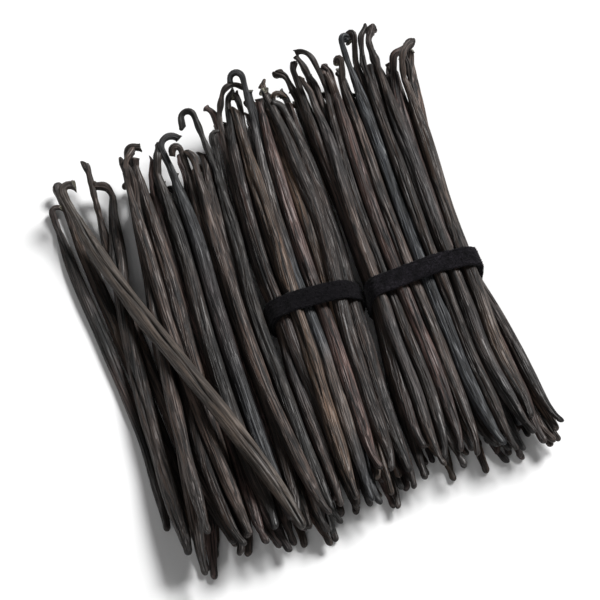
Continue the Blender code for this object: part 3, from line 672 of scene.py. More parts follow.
def pod_skin(heap, number, pods, detail, tones):
    """One pod's skin, wrinkled lengthwise, with a rounded blossom end and a hollow cut at its stem."""
    pod = heap.pods[number]
    dice = np.random.default_rng((SEED, number))
    stem_dice = np.random.default_rng((SEED, number, 1))
    around_count, step = detail
    places, line, body = pod_line(heap, number)
    length = places[-1]
    s = ring_places(body, length, pod.width, step)
    ahead, side, up, middle = (resampled(s, places, values) for values in (*carried_frames(line), line))
    half, flatness, sway, stem = pod_shape(pod, dice, stem_dice, s, body, length)
    middle = middle + sway[:, None] * side

    # Its sections, rolled and slowly twisted
    turn = np.linspace(0, 2 * math.pi, around_count, endpoint=False)
    around = (turn + TOP_DENSITY * np.cos(turn))[None, :] + 0 * s[:, None]
    roll = pods.roll * dice.uniform(-1, 1) + TWIST * slow_wave(dice, s, 80 * MM, 160 * MM)
    roll = (roll * (1 - stem))[:, None]
    across = SLIM * half[:, None] * np.cos(around)
    over = (half / flatness)[:, None] * np.sin(around)
    normal_x = np.cos(around) / flatness[:, None]
    normal_z = np.sin(around)
    size = np.sqrt(normal_x**2 + normal_z**2)

    # Furrows and wrinkles
    plump = dice.uniform(*PLUMPNESS)
    furrow = grooves(dice, around, s[:, None], **FURROWS)
    wrinkle = grooves(dice, around, s[:, None], **WRINKLES)
    kept, grows = SMOOTH_TIP
    ends = kept + (1 - kept) * smooth_step(s / grows)
    rise = pods.furrow_depth * plump * (RIDGES[0] - furrow) + pods.wrinkle_depth * (RIDGES[1] - wrinkle)
    rise *= (half / (pod.width / 2) * ends)[:, None]
    across = across + normal_x / size * rise
    over = over + normal_z / size * rise
    wide = across * np.cos(roll) - over * np.sin(roll)
    high = across * np.sin(roll) + over * np.cos(roll)
    points = middle[:, None, :] + wide[:, :, None] * side[:, None, :] + high[:, :, None] * up[:, None, :]
    slant = stem_dice.uniform(*CUT_SLANT) * np.cos(turn - stem_dice.uniform(0, 2 * math.pi))
    near_cut = smooth_step((s - length + CUT_REACH) / CUT_REACH)
    points += (near_cut * half)[:, None, None] * slant[None, :, None] * ahead[:, None, :]

    # The cut end, hollowed, and the middle of the blossom end
    cut, onward = middle[-1], ahead[-1]
    depths = (CUT_LIP, CUT_HOLLOW)
    inner = [cut + (points[-1] - cut) * share - onward * depth for share, depth in zip(CUT_RIMS, depths)]
    tip = middle[0] - ahead[0] * TIP_POINT
    bottom = cut - onward * CUT_HOLLOW * CUT_MIDDLE
    rings = np.concatenate([points, inner])
    flat = np.concatenate([rings.reshape(-1, 3), tip[None], bottom[None]])
    flat[:, 2] = np.maximum(flat[:, 2], FLOOR_CLEARANCE)
    grid, after = ring_grid(len(rings), around_count)
    quads = np.stack([grid[:-1], after[:-1], after[1:], grid[1:]], axis=-1).reshape(-1, 4)
    fans = [(grid.size, b, a) for a, b in zip(grid[0], after[0])]
    fans += [(grid.size + 1, a, b) for a, b in zip(grid[-1], after[-1])]

    # Where each point is on the pod laid out straight
    share = np.concatenate([np.ones(len(s)), CUT_RIMS])[:, None]
    round_x, round_z, ring_s = (
        np.concatenate([rows, rows[-1:], rows[-1:]]) for rows in (across, over, s[:, None] + 0 * across)
    )
    place = np.stack([round_x * share, round_z * share, ring_s], axis=-1).reshape(-1, 3)
    place = np.concatenate([place, [[0, 0, 0], [0, 0, s[-1]]]])
    place = place + dice.uniform(-1, 1, 3) * GRAIN_SHIFT

    # Its colour, paler at the cut, and painted shade in its creases, by how open to the light each point
    # is
    colour = np.concatenate([pod_colour(dice, s, tones), [pods.cut_colour[:]] * 2])
    tone = np.concatenate([np.repeat(colour, around_count, axis=0), [colour[0], colour[-1]]])
    # Painted shade: furrows and wrinkles darkened where shade would fall in them
    painted_crease_shade = 1 - np.clip(furrow * PAINTED_CREASE_SHADE[0] + wrinkle * PAINTED_CREASE_SHADE[1], 0, 1)
    painted_crease_shade = np.concatenate([painted_crease_shade, painted_crease_shade[-1:], painted_crease_shade[-1:]]).reshape(-1)
    return Skin(flat, quads.tolist() + fans, place, tone, np.concatenate([painted_crease_shade, [1, 1]]))


def joined(parts):
    """Points and faces of several pairs of points and faces as one pair."""
    faces, start = [], 0
    for points, own_faces in parts:
        faces += [[number + start for number in face] for face in own_faces]
        start += len(points)
    return np.concatenate([points for points, _ in parts]), faces


def mesh_object(name, points, faces, finish):
    """A smooth mesh object, moved so that the middle of the heap is over the origin."""
    mesh = bpy.data.meshes.new(name)
    mesh.from_pydata(points - (*MIDDLE, 0), [], faces)
    mesh.polygons.foreach_set("use_smooth", [True] * len(mesh.polygons))
    mesh.materials.append(finish)
    mesh.validate()
    obj = bpy.data.objects.new(name, mesh)
    bpy.context.scene.collection.objects.link(obj)
    return obj


def skin_object(name, skins, finish):
    """One mesh object of several pods' skins."""
    piece = mesh_object(name, *joined([(skin.points, skin.faces) for skin in skins]), finish)
    tone = np.concatenate([skin.tone for skin in skins])
    tone = np.concatenate([tone, np.ones((len(tone), 1))], axis=1)
    for label, kind, field, values in (
        ("pod_place", "FLOAT_VECTOR", "vector", np.concatenate([skin.place for skin in skins])),
        ("pod_tone", "FLOAT_COLOR", "color", tone),
        # painted shade in the creases
        ("pod_painted_crease_shade", "FLOAT", "value", np.concatenate([skin.painted_crease_shade for skin in skins])),
    ):
        data = piece.data.attributes.new(label, kind, "POINT").data
        data.foreach_set(field, values.astype("f").ravel())
    return piece


def build_pods(name, node, finish, settings, detail=None, tones=None):
    """The real pods that stand for one node of the frame."""
    heap = settled_heap()
    tones = tones or pod_tones(settings)
    skins = []
    for number, pod in enumerate(heap.pods):
        if pod.group == node:
            level = detail or (SHOWN_DETAIL, LOWER_DETAIL, HIDDEN_DETAIL)[pod.depth]
            skins.append(pod_skin(heap, number, settings, level, tones))
    piece = skin_object(name, skins, finish)
    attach(piece, "root")
    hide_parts(node)


def pod_tones(settings):
    """The colours that a pod may have, and how often."""
    return [
        (settings.grey_brown[:], 0.35),
        (settings.dark_brown[:], 0.23),
        (settings.tan[:], 0.10),
        (settings.mauve[:], 0.14),
        (settings.blue_grey[:], 0.12),
        (settings.near_black[:], 0.06),
    ]


# ---------------------------------------------------------------------------------------------------
# Straps

STRAP_STEPS = 300
STRAP_SPACING = 0.45 * MM
STRAP_SMOOTHING = 2.0  # in steps of that spacing
STRAP_ACROSS = 22  # points across the strap
STRAP_EDGE = 5  # points round each edge
STRAP_CORNER = 3.2 * MM
STRAP_END = (0.25, 1.2 * MM)  # share of the thickness that its ends keep, and the length it grows over
STRAP_WAVE = 0.12 * MM
STRAP_CROWN = 0.12  # share of its thickness that its edges lose
HULL_STEPS = 12  # points along each side of the outline that a taut strap follows
TAUT_FROM = (-0.5, 0.4)  # where it starts to follow it and over how much, as shares of the half height
PILE_ROUGHNESS = 0.09 * MM
SIDEWAYS_ROUGHNESS = 0.7  # as a share of that
PILE_EVENNESS = 1.7  # evens out the sum of three neighbours' roughness
LOOPS = 2600
LOOP_POINTS = 5
LOOP_THICKNESS = 0.06 * MM
LOOP_WIDTHS = (0.25, 0.55)  # millimetres
LOOP_HEIGHTS = (0.5, 1.0)  # shares of the pile
LOOP_SCATTER = 0.35
PILE_RELIEF = 0.25 * MM
DARKER_NAP = 0.4  # the painted sheen on the left strap's nap as a share of the right one's
EDGE_LEAN = (0.45, 0.8)  # how far out loops lean over the edge, as a share of the width, and how much


def taut_radius(bundle, centre, toward):
    """How far a taut strap stands from a bundle's centre in each direction, from the bundle's own pods."""
    piece = bpy.data.objects.get(f"{bundle}_pods")
    if piece is None:
        raise RuntimeError(f"{bundle}_pods has to be made before its strap")
    group = GROUPS[bundle]
    points = np.empty(3 * len(piece.data.vertices), "f")
    piece.data.vertices.foreach_get("co", points)
    points = points.reshape(-1, 3) + (*MIDDLE, 0)
    strap_y = group.strap_y + group.strap_tilt * (points[:, 0] - centre[0])
    under = points[np.abs(points[:, 1] - strap_y) < STRAP_WIDTH / 2][:, [0, 2]]
    hull = under[convex_hull_2d(under.tolist())]
    share = np.linspace(0, 1, HULL_STEPS, endpoint=False)[None, :, None]
    sides = hull[:, None] * (1 - share) + np.roll(hull, -1, axis=0)[:, None] * share
    edge = sides.reshape(-1, 2) - centre
    way = np.arctan2(edge[:, 1], edge[:, 0])
    order = np.argsort(way)
    return np.interp(toward, way[order], np.linalg.norm(edge, axis=1)[order], period=2 * math.pi)


def strap_run(name):
    """Points round a tied bundle along its strap's inner side, from its hidden end to its tip, in X and
    Z, and the outward direction at each."""
    bundle, tip, turn = STRAPS[name]
    group = GROUPS[bundle]
    pods = settled_heap().pods
    centre_x, half_width, lowest, half_height = outline_at(bundle, group.strap_y, pods)
    centre_z = lowest + half_height
    start = tip - turn * (2 * math.pi + STRAP_OVERLAP)
    angles = np.linspace(start, tip, STRAP_STEPS)
    passed = np.abs(angles - start) - 2 * math.pi
    out = GAP + smooth_step(passed / LAP_RAMP + 1) * (STRAP_THICKNESS + LAP_GAP)
    power = np.where(np.sin(angles) > 0, TOP_POWER, BOTTOM_POWER)
    across = np.sign(np.cos(angles)) * np.abs(np.cos(angles)) ** (2 / power)
    up = np.sign(np.sin(angles)) * np.abs(np.sin(angles)) ** (2 / power)
    loose = np.stack([(half_width + GAP) * across, (half_height + GAP) * up], axis=1)
    far = np.linalg.norm(loose, axis=1)
    toward = np.arctan2(loose[:, 1], loose[:, 0])
    taut = np.minimum(far, taut_radius(bundle, (centre_x, centre_z), toward) + GAP)
    begins, blend = TAUT_FROM
    above = smooth_step((loose[:, 1] - begins * half_height) / (blend * half_height))
    reach = far + (taut - far) * above + out - GAP
    run = (centre_x, centre_z) + loose / far[:, None] * reach[:, None]
    places, run, _ = spaced(run, STRAP_SPACING)
    run = smoothed(run, STRAP_SMOOTHING)
    ahead = np.gradient(run, axis=0)
    ahead /= np.linalg.norm(ahead, axis=1)[:, None]
    outward = np.stack([ahead[:, 1], -ahead[:, 0]], axis=1) * turn
    return places, run, outward, group


def strap_section(half_width, thickness):
    """The strap's section as distances across it and out from its inner side, going round once."""
    edge = thickness / 2
    flat = np.linspace(-half_width + edge, half_width - edge, STRAP_ACROSS)
    bend = np.linspace(-math.pi / 2, math.pi / 2, STRAP_EDGE + 2)[1:-1]
    near = np.stack([half_width - edge + edge * np.cos(bend), edge + edge * np.sin(bend)], axis=1)
    far = near[::-1] * (-1, 1)
    lower = np.stack([flat, 0 * flat], axis=1)
    upper = np.stack([flat[::-1], thickness + 0 * flat], axis=1)
    return np.concatenate([lower, near, upper, far])


def build_strap(name, finish, settings):
    """A strap of loop webbing once round its bundle and on over itself."""
    places, run, outward, group = strap_run(name)
    dice = np.random.default_rng((SEED, len(name)))
    half_width = settings.width / 2
    section = strap_section(half_width, settings.thickness)
    from_end = np.minimum(places, places[-1] - places)
    corner = np.clip(from_end / STRAP_CORNER, 0, 1)
    narrow = 1 - STRAP_CORNER * (1 - np.sqrt(1 - (1 - corner) ** 2)) / half_width
    narrow[[0, -1]] = narrow[[1, -2]]
    end_share, grows = STRAP_END
    thin = smooth_step(from_end / grows) * (1 - end_share) + end_share
    wave = STRAP_WAVE * slow_wave(dice, places, 14 * MM, 50 * MM)
    crown = 1 - STRAP_CROWN * (np.abs(section[:, 0]) / half_width) ** 2
    y = group.strap_y + narrow[:, None] * section[None, :, 0] + wave[:, None]
    half = settings.thickness / 2
    out = half + (section[None, :, 1] - half) * thin[:, None] * crown[None, :]
    x, z = (run[:, axis][:, None] + outward[:, axis][:, None] * out for axis in (0, 1))
    y = y + group.strap_tilt * (x - run[:, 0].mean())
    points = np.stack([x, y, z], axis=-1)
    rough = dice.normal(0, 1, points.shape[:2])
    rough = (rough + np.roll(rough, 1, axis=1) + np.roll(rough, 1, axis=0)) / PILE_EVENNESS
    points[:, :, [0, 2]] += outward[:, None, :] * rough[:, :, None] * PILE_ROUGHNESS
    points[:, :, 1] += dice.normal(0, 1, points.shape[:2]) * PILE_ROUGHNESS * SIDEWAYS_ROUGHNESS
    grid, after = ring_grid(*points.shape[:2])
    quads = np.stack([grid[:-1], grid[1:], after[1:], after[:-1]], axis=-1).reshape(-1, 4).tolist()
    ends = [grid[0].tolist(), grid[-1][::-1].tolist()]
    webbing = (points.reshape(-1, 3), quads + ends)
    flat, faces = joined([webbing, pile_loops(dice, points, outward, settings)])
    flat[:, 2] = np.maximum(flat[:, 2], FLOOR_CLEARANCE)
    piece = mesh_object(f"{name}_webbing", flat, faces, finish)
    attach(piece, "root")
    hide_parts(name)


def pile_loops(dice, points, outward, settings):
    """Little loops of thread that stand on the strap's outer side and edges."""
    edge, lean = EDGE_LEAN
    verts, faces = [], []
    for _ in range(LOOPS):
        row = dice.integers(3, len(points) - 3)
        column = dice.integers(STRAP_ACROSS, 2 * (STRAP_ACROSS + STRAP_EDGE) - 1)
        foot = points[row, column]
        off = foot[1] - points[row].mean(axis=0)[1]
        over_edge = lean * np.sign(off) if abs(off) > settings.width * edge else 0
        out = np.array([outward[row, 0], over_edge, outward[row, 1]]) + dice.normal(0, LOOP_SCATTER, 3)
        out /= np.linalg.norm(out)
        way = np.cross(out, dice.normal(0, 1, 3))
        way /= np.linalg.norm(way)
        third = np.cross(out, way)
        width = dice.uniform(*LOOP_WIDTHS) * MM
        height = dice.uniform(*LOOP_HEIGHTS) * settings.pile
        bend = np.linspace(0, math.pi, LOOP_POINTS)[:, None]
        arch = foot + way * width / 2 * np.cos(bend) + out * height * np.sin(bend)
        beside = LOOP_THICKNESS * third
        rise = LOOP_THICKNESS * (out * np.sin(bend) + way * np.cos(bend))
        ring = np.stack([arch + beside, arch - beside, arch + rise], axis=1)
        start = len(verts) * 3 * LOOP_POINTS
        verts.append(ring.reshape(-1, 3))
        for i in range(LOOP_POINTS - 1):
            for j in range(3):
                k = (j + 1) % 3
                a, b = start + 3 * i, start + 3 * i + 3
                faces.append([a + j, a + k, b + k, b + j])
        faces.append([start + 2, start + 1, start])
        end = start + 3 * (LOOP_POINTS - 1)
        faces.append([end, end + 1, end + 2])
    return np.concatenate(verts), faces


# ---------------------------------------------------------------------------------------------------
# Finishes


def new_group(name, inputs, outputs):
    """An empty shader node group with the given sockets, and its input and output nodes."""
    group = bpy.data.node_groups.new(name, "ShaderNodeTree")
    for label, kind, value in inputs:
        socket = group.interface.new_socket(name=label, in_out="INPUT", socket_type=f"NodeSocket{kind}")
        if value is not None:
            socket.default_value = value
    for label, kind in outputs:
        group.interface.new_socket(name=label, in_out="OUTPUT", socket_type=f"NodeSocket{kind}")
    return group, group.nodes.new("NodeGroupInput"), group.nodes.new("NodeGroupOutput")


def feed(tree, socket, value):
    """Links an output to the socket, or sets it to a plain value."""
    if isinstance(value, bpy.types.NodeSocket):
        tree.links.new(value, socket)
    else:
        socket.default_value = value


def math_node(tree, operation, *values):
    """The outcome of one operation on outputs and numbers."""
    node = tree.nodes.new("ShaderNodeMath")
    node.operation = operation
    for socket, value in zip(node.inputs, values):
        feed(tree, socket, value)
    return node.outputs[0]


def vector_node(tree, operation, *values):
    """The same on vectors or colours."""
    node = tree.nodes.new("ShaderNodeVectorMath")
    node.operation = operation
    for socket, value in zip(node.inputs, values):
        feed(tree, socket, value)
    return node.outputs[0]


def stretched_noise(tree, place, stretch, detail, roughness=0.55, distortion=0.0):
    """Noise on the pod laid out straight; `stretch` is how many grains a metre across and along it has."""
    across, lengthwise = stretch
    scaled = vector_node(tree, "MULTIPLY", place, (across, across, lengthwise))
    noise = tree.nodes.new("ShaderNodeTexNoise")
    noise.inputs["Scale"].default_value = 1.0
    noise.inputs["Detail"].default_value = detail
    noise.inputs["Roughness"].default_value = roughness
    noise.inputs["Distortion"].default_value = distortion
    tree.links.new(scaled, noise.inputs["Vector"])
    return noise.outputs["Fac"]


def remap(tree, value, from_low, from_high, to_low, to_high):
    """The value, stretched from one range to another and kept inside it."""
    node = tree.nodes.new("ShaderNodeMapRange")
    node.inputs["From Min"].default_value = from_low
    node.inputs["From Max"].default_value = from_high
    node.inputs["To Min"].default_value = to_low
    node.inputs["To Max"].default_value = to_high
    tree.links.new(value, node.inputs["Value"])
    return node.outputs["Result"]


def mixed(tree, amount, first, second):
    """Two colours, mixed by the amount of the second."""
    node = tree.nodes.new("ShaderNodeMix")
    node.data_type = "RGBA"
    tree.links.new(amount, node.inputs["Factor"])
    feed(tree, node.inputs[6], first)
    feed(tree, node.inputs[7], second)
    return node.outputs[2]


def pod_skin_group():
    """Grain of a cured pod: fine lengthwise wrinkles, painted shade in the creases and paler ridges,
    partly wear and partly painted sheen, dull and oily patches and specks.
    """
    if "Pod skin" in bpy.data.node_groups:
        return bpy.data.node_groups["Pod skin"]
    inputs = [
        ("Tone", "Color", (0.05, 0.04, 0.035, 1)),
        ("Place", "Vector", None),
        ("Crease shade", "Float", 0.5),
        ("Streaks", "Float", 1.0),
    ]
    outputs = [("Colour", "Color"), ("Roughness", "Float"), ("Height", "Float")]
    group, given, result = new_group("Pod skin", inputs, outputs)
    place = given.outputs["Place"]
    fine = stretched_noise(group, place, (1900, 85), 1, 0.5, 0.1)
    broad = stretched_noise(group, place, (560, 26), 2, 0.55, 0.1)
    patch = stretched_noise(group, place, (160, 42), 3)
    crackle = stretched_noise(group, place, (900, 1500), 3, 0.6)
    thin, wide = remap(group, fine, 0.45, 0.55, 0, 0.65), remap(group, broad, 0.4, 0.6, 0, 0.35)
    streak = math_node(group, "ADD", thin, wide)

    # Streaks darken and lighten the tone, and so do patches and the crackle; the creases get painted
    # shade, darkest in the furrows, and the ridges between them are paler, partly wear and partly painted
    # sheen
    strength = math_node(group, "SUBTRACT", remap(group, streak, 0.0, 1.0, 0.04, 2.0), 1.0)
    shade = math_node(group, "MULTIPLY_ADD", strength, given.outputs["Streaks"], 1.0)
    for value, low, high, darkest, palest in (
        # Painted shade in the creases, and paler ridges, partly wear and partly painted sheen
        (given.outputs["Crease shade"], 0.12, 0.88, 0.04, 1.34),
        (patch, 0.3, 0.7, 0.7, 1.3),
        (crackle, 0.3, 0.7, 0.82, 1.18),
    ):
        shade = math_node(group, "MULTIPLY", shade, remap(group, value, low, high, darkest, palest))
    warm = mixed(group, remap(group, patch, 0.45, 0.75, 0.0, 0.45), (1, 1, 1, 1), (1.12, 0.97, 0.84, 1))
    tinted = vector_node(group, "MULTIPLY", given.outputs["Tone"], warm)
    group.links.new(vector_node(group, "MULTIPLY", tinted, shade), result.inputs["Colour"])

    # Glossier on the pale streaks, duller on patches and crackle
    rough = remap(group, streak, 0.1, 0.95, 0.6, 0.34)
    for value, most in ((crackle, 0.16), (patch, 0.14)):
        rough = math_node(group, "ADD", rough, remap(group, value, 0.3, 0.7, 0.0, most))
    group.links.new(rough, result.inputs["Roughness"])
    group.links.new(math_node(group, "MULTIPLY_ADD", crackle, 0.18, streak), result.inputs["Height"])
    return group


def attribute(tree, name, output):
    """What is stored on the mesh under the name."""
    node = tree.nodes.new("ShaderNodeAttribute")
    node.attribute_name = name
    return node.outputs[output]


def new_finish(name):
    """A material and its shader."""
    finish = bpy.data.materials.new(name)
    finish.use_nodes = True
    return finish, finish.node_tree.nodes["Principled BSDF"]


def place_group(tree, shader, group, relief):
    """Puts a group in a material, as its colour and as bumps up to `relief` metres deep."""
    placed = tree.nodes.new("ShaderNodeGroup")
    placed.node_tree = group
    bump = tree.nodes.new("ShaderNodeBump")
    bump.inputs["Strength"].default_value = 1.0
    bump.inputs["Distance"].default_value = relief
    tree.links.new(placed.outputs["Height"], bump.inputs["Height"])
    tree.links.new(placed.outputs["Colour"], shader.inputs["Base Color"])
    tree.links.new(bump.outputs["Normal"], shader.inputs["Normal"])
    return placed


def pod_finish(name, streaks, relief):
    """The finish of cured pods: how strong its streaks are, and how deep its fine wrinkles, in metres."""
    finish, shader = new_finish(name)
    tree = finish.node_tree
    skin = place_group(tree, shader, pod_skin_group(), relief)
    skin.inputs["Streaks"].default_value = streaks
    for stored, output, given in (
        ("pod_tone", "Color", "Tone"),
        ("pod_place", "Vector", "Place"),
        # painted shade in the creases
        ("pod_painted_crease_shade", "Fac", "Crease shade"),
    ):
        tree.links.new(attribute(tree, stored, output), skin.inputs[given])
    tree.links.new(skin.outputs["Roughness"], shader.inputs["Roughness"])
    return finish


def pile_group():
    """Loop pile: a dense, uneven nap of dark thread, with painted sheen in fuzzy, mottled patches of the
    nap.
    """
    if "Loop pile" in bpy.data.node_groups:
        return bpy.data.node_groups["Loop pile"]
    inputs = [
        ("Thread", "Color", (0.012, 0.011, 0.013, 1)),
        ("Nap sheen", "Color", (0.05, 0.048, 0.052, 1)),
    ]
    outputs = [("Colour", "Color"), ("Height", "Float")]
    group, given, result = new_group("Loop pile", inputs, outputs)
    spot = group.nodes.new("ShaderNodeTexCoord").outputs["Object"]
    nap = stretched_noise(group, spot, (1700, 1700), 4, 0.7)
    nap_mottle = stretched_noise(group, spot, (260, 260), 3, 0.6)
    # Painted sheen: the nap is paler where it catches the light, in fuzzy, mottled patches
    fuzz, nap_mottle_mask = remap(group, nap, 0.42, 0.66, 0, 1), remap(group, nap_mottle, 0.38, 0.62, 0.05, 1)
    amount = math_node(group, "MULTIPLY", fuzz, nap_mottle_mask)
    colour = mixed(group, amount, given.outputs["Thread"], given.outputs["Nap sheen"])
    group.links.new(colour, result.inputs["Colour"])
    group.links.new(nap, result.inputs["Height"])
    return group


def strap_finish(name, thread, nap_sheen):
    """The finish of a strap with the given colours of thread and of the painted sheen on its nap."""
    finish, shader = new_finish(name)
    pile = place_group(finish.node_tree, shader, pile_group(), PILE_RELIEF)
    pile.inputs["Thread"].default_value = (*thread, 1)
    pile.inputs["Nap sheen"].default_value = (*nap_sheen, 1)
    shader.inputs["Roughness"].default_value = 0.95
    shader.inputs["Specular IOR Level"].default_value = 0.08
    shader.inputs["Sheen Weight"].default_value = 0.07
    shader.inputs["Sheen Roughness"].default_value = 0.5
    return finish


# ---------------------------------------------------------------------------------------------------
# Stage

VIEW_AZIMUTH = math.radians(-16.896)
VIEW_ELEVATION = math.radians(57)
VIEW_ROLL = math.radians(1.225)
VIEW_DISTANCE = 0.95
VIEW_TARGET = (1.63 * MM, 3.30 * MM, 10 * MM)
LENS = 147.6
SHIFT = (0.0097, -0.0273)
SOFTBOX_ANGLE = math.radians(24)
SOFTBOX_WAY = (0.85, 0.4, 1.0)
FILL_ANGLE = math.radians(50)
FILL_WAY = (-0.45, -0.75, 0.55)


def build_floor(settings):
    """A plain matt floor."""
    half = settings.floor_size / 2
    mesh = bpy.data.meshes.new("floor")
    square = [(-half, -half, 0), (half, -half, 0), (half, half, 0), (-half, half, 0)]
    mesh.from_pydata(square, [], [(0, 1, 2, 3)])
    finish, shader = new_finish("floor")
    shader.inputs["Base Color"].default_value = (*settings.floor_colour, 1)
    shader.inputs["Roughness"].default_value = 0.9
    shader.inputs["Specular IOR Level"].default_value = 0.0
    mesh.materials.append(finish)
    floor = bpy.data.objects.new("floor", mesh)
    bpy.context.scene.collection.objects.link(floor)


def build_light(settings):
    """Weak even light from all round, a softbox from above and behind on the right, and a broad weaker
    light from the front left. What is seen beyond the floor is white."""
    world = bpy.data.worlds.new("soft room")
    world.use_nodes = True
    tree = world.node_tree
    background = tree.nodes["Background"]
    background.inputs["Color"].default_value = (1, 1, 1, 1)
    seen = tree.nodes.new("ShaderNodeLightPath").outputs["Is Camera Ray"]
    tree.links.new(remap(tree, seen, 0, 1, settings.sky, 1), background.inputs["Strength"])
    bpy.context.scene.world = world
    for name, way, strength, angle in (
        ("softbox", SOFTBOX_WAY, settings.key, SOFTBOX_ANGLE),
        ("fill", FILL_WAY, settings.fill, FILL_ANGLE),
    ):
        light = bpy.data.lights.new(name, "SUN")
        light.energy = strength
        light.angle = angle
        box = bpy.data.objects.new(name, light)
        box.location = Vector(way)
        box.rotation_euler = box.location.to_track_quat("Z", "Y").to_euler()
        bpy.context.scene.collection.objects.link(box)


def build_camera():
    """The camera, which looks down at the heap from in front."""
    azimuth, elevation, roll = VIEW_AZIMUTH, VIEW_ELEVATION, VIEW_ROLL
    level = math.cos(elevation)
    back = Vector((math.sin(azimuth) * level, -math.cos(azimuth) * level, math.sin(elevation)))
    right = Vector((math.cos(azimuth), math.sin(azimuth), 0))
    up = back.cross(right)
    image_right = right * math.cos(roll) - up * math.sin(roll)
    image_up = right * math.sin(roll) + up * math.cos(roll)
    data = bpy.data.cameras.new("camera")
    data.lens = LENS
    data.shift_x, data.shift_y = SHIFT
    data.clip_start = 0.01
    data.clip_end = 20
    camera = bpy.data.objects.new("camera", data)
    place = Matrix((image_right, image_up, back)).transposed().to_4x4()
    place.translation = Vector(VIEW_TARGET) + back * VIEW_DISTANCE
    camera.matrix_world = place
    bpy.context.scene.collection.objects.link(camera)
    bpy.context.scene.camera = camera
    bpy.context.scene.view_settings.view_transform = "Standard"


# ---------------------------------------------------------------------------------------------------
# Settings


def length_property(name, description, default):
    """A setting in metres."""
    return FloatProperty(
        name=name, description=description, default=default, subtype="DISTANCE", unit="LENGTH"
    )


def colour_property(name, description, default):
    """A setting that is a colour."""
    return FloatVectorProperty(
        name=name, description=description, default=default, subtype="COLOR", size=3
    )


class PodSettings(bpy.types.PropertyGroup):
    """Shape and colours of the pods"""

    furrow_depth: length_property("Furrow depth", "Depth of a pod's few deep furrows", 1.15 * MM)
    wrinkle_depth: length_property("Wrinkle depth", "Depth of the wrinkles between them", 0.5 * MM)
    roll: FloatProperty(
        name="Roll",
        description="Most that a pod is turned about its length",
        default=math.radians(32),
        subtype="ANGLE",
    )
    grey_brown: colour_property("Grey-brown", "Commonest colour of a pod", (0.0295, 0.0207, 0.0170))
    dark_brown: colour_property("Dark brown", "Colour of an oily pod", (0.0145, 0.0097, 0.0077))
    tan: colour_property("Tan", "Colour of a drier pod", (0.056, 0.0368, 0.0255))
    mauve: colour_property("Mauve", "Colour of a pinkish pod", (0.043, 0.0268, 0.0236))
    dusty: colour_property("Dusty brown", "Colour of the pod on top", (0.037, 0.0292, 0.0240))
    blue_grey: colour_property("Blue-grey", "Colour of a bluish pod", (0.018, 0.0195, 0.022))
    near_black: colour_property("Near black", "Colour of the darkest pods", (0.008, 0.0068, 0.006))
    cut_colour: colour_property("Cut", "Colour where the stem was cut", (0.085, 0.082, 0.062))


class StrapSettings(bpy.types.PropertyGroup):
    """Size and colours of the straps"""

    width: length_property("Width", "Width of a strap", STRAP_WIDTH)
    thickness: length_property("Thickness", "Thickness of a strap without its loops", STRAP_THICKNESS)
    pile: length_property("Pile", "How far its loops stand out", 0.35 * MM)
    thread: colour_property("Thread", "Colour of the loops", (0.0030, 0.0026, 0.0036))
    # painted sheen on the nap
    nap_sheen: colour_property("Nap", "Colour where the nap catches the light", (0.024, 0.0205, 0.027))


class StageSettings(bpy.types.PropertyGroup):
    """Floor, light and camera"""

    floor_size: length_property("Floor size", "Side of the square floor", 6.0)
    floor_colour: colour_property("Floor", "Colour of the floor", (0.93, 0.93, 0.93))
    sky: FloatProperty(name="Surrounding light", description="Strength of the even light", default=0.08)
    key: FloatProperty(name="Softbox", description="Strength of the overhead softbox", default=4.3)
    fill: FloatProperty(name="Fill light", description="Strength of the weaker light", default=0.75)


# ---------------------------------------------------------------------------------------------------
# Operators


class VANILLA_OT_right_bundle(bpy.types.Operator):
    """Builds the pods of the right-hand bundle"""

    bl_idname = "vanilla.right_bundle"
    bl_label = "Right bundle"

    def execute(self, context):
        finish = pod_finish("cured pods", *CURED)
        build_pods("right_bundle_pods", "right_bundle", finish, context.scene.vanilla_pods)
        return {"FINISHED"}


class VANILLA_OT_left_bundle(bpy.types.Operator):
    """Builds the pods of the left-hand bundle"""

    bl_idname = "vanilla.left_bundle"
    bl_label = "Left bundle"

    def execute(self, context):
        finish = pod_finish("cured pods, left bundle", *CURED)
        build_pods("left_bundle_pods", "left_bundle", finish, context.scene.vanilla_pods)
        return {"FINISHED"}


class VANILLA_OT_loose_pods(bpy.types.Operator):
    """Builds the loose pods beside the bundles"""

    bl_idname = "vanilla.loose_pods"
    bl_label = "Loose pods"

    def execute(self, context):
        finish = pod_finish("cured pods, loose", *CURED)
        build_pods("loose_pods_heap", "loose_pods", finish, context.scene.vanilla_pods)
        return {"FINISHED"}


class VANILLA_OT_single_pods(bpy.types.Operator):
    """Builds the pod that crosses on top and the pod along the edge"""

    bl_idname = "vanilla.single_pods"
    bl_label = "Single pods"

    def execute(self, context):
        settings = context.scene.vanilla_pods
        plump = pod_finish("plump pod", *PLUMP)
        tones = [(settings.dusty[:], 0.8), (settings.grey_brown[:], 0.2)]
        build_pods("crossing_pod_skin", "crossing_pod", plump, settings, SINGLE_DETAIL, tones)
        plain = pod_finish("edge pod", *SMOOTHER)
        build_pods("edge_pod_skin", "edge_pod", plain, settings, SINGLE_DETAIL)
        return {"FINISHED"}


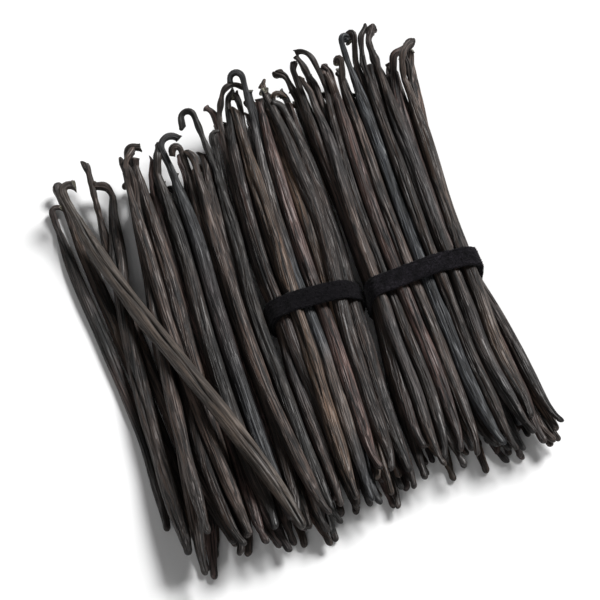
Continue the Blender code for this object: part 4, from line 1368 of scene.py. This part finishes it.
class VANILLA_OT_straps(bpy.types.Operator):
    """Builds the two straps that tie the bundles"""

    bl_idname = "vanilla.straps"
    bl_label = "Straps"

    def execute(self, context):
        settings = context.scene.vanilla_straps
        build_strap("right_strap", strap_finish("loop webbing", settings.thread, settings.nap_sheen), settings)
        darker = [value * DARKER_NAP for value in settings.nap_sheen]
        build_strap("left_strap", strap_finish("loop webbing, darker", settings.thread, darker), settings)
        return {"FINISHED"}


class VANILLA_OT_stage(bpy.types.Operator):
    """Builds the floor, the light and the camera"""

    bl_idname = "vanilla.stage"
    bl_label = "Stage"

    def execute(self, context):
        settings = context.scene.vanilla_stage
        build_floor(settings)
        build_light(settings)
        build_camera()
        return {"FINISHED"}


class VANILLA_PT_panel(bpy.types.Panel):
    """Lists the pieces of the heap"""

    bl_idname = "VANILLA_PT_panel"
    bl_label = "Vanilla pods"
    bl_space_type = "VIEW_3D"
    bl_region_type = "UI"
    bl_category = "Vanilla pods"

    def draw(self, context):
        for group in ("vanilla_pods", "vanilla_straps", "vanilla_stage"):
            settings = getattr(context.scene, group)
            for name in settings.__annotations__:
                self.layout.prop(settings, name)
        for operator in OPERATORS:
            self.layout.operator(operator.bl_idname)


OPERATORS = (
    VANILLA_OT_right_bundle,
    VANILLA_OT_left_bundle,
    VANILLA_OT_loose_pods,
    VANILLA_OT_single_pods,
    VANILLA_OT_straps,
    VANILLA_OT_stage,
)
CLASSES = (PodSettings, StrapSettings, StageSettings, *OPERATORS, VANILLA_PT_panel)


def register():
    for each in CLASSES:
        bpy.utils.register_class(each)
    bpy.types.Scene.vanilla_pods = PointerProperty(type=PodSettings)
    bpy.types.Scene.vanilla_straps = PointerProperty(type=StrapSettings)
    bpy.types.Scene.vanilla_stage = PointerProperty(type=StageSettings)


def unregister():
    del bpy.types.Scene.vanilla_pods
    del bpy.types.Scene.vanilla_straps
    del bpy.types.Scene.vanilla_stage
    for each in reversed(CLASSES):
        bpy.utils.unregister_class(each)


def main():
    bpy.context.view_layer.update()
    register()
    bpy.ops.vanilla.right_bundle()
    bpy.ops.vanilla.left_bundle()
    bpy.ops.vanilla.loose_pods()
    bpy.ops.vanilla.single_pods()
    bpy.ops.vanilla.straps()
    bpy.ops.vanilla.stage()
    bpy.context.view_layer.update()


if __name__ == "__main__":
    main()
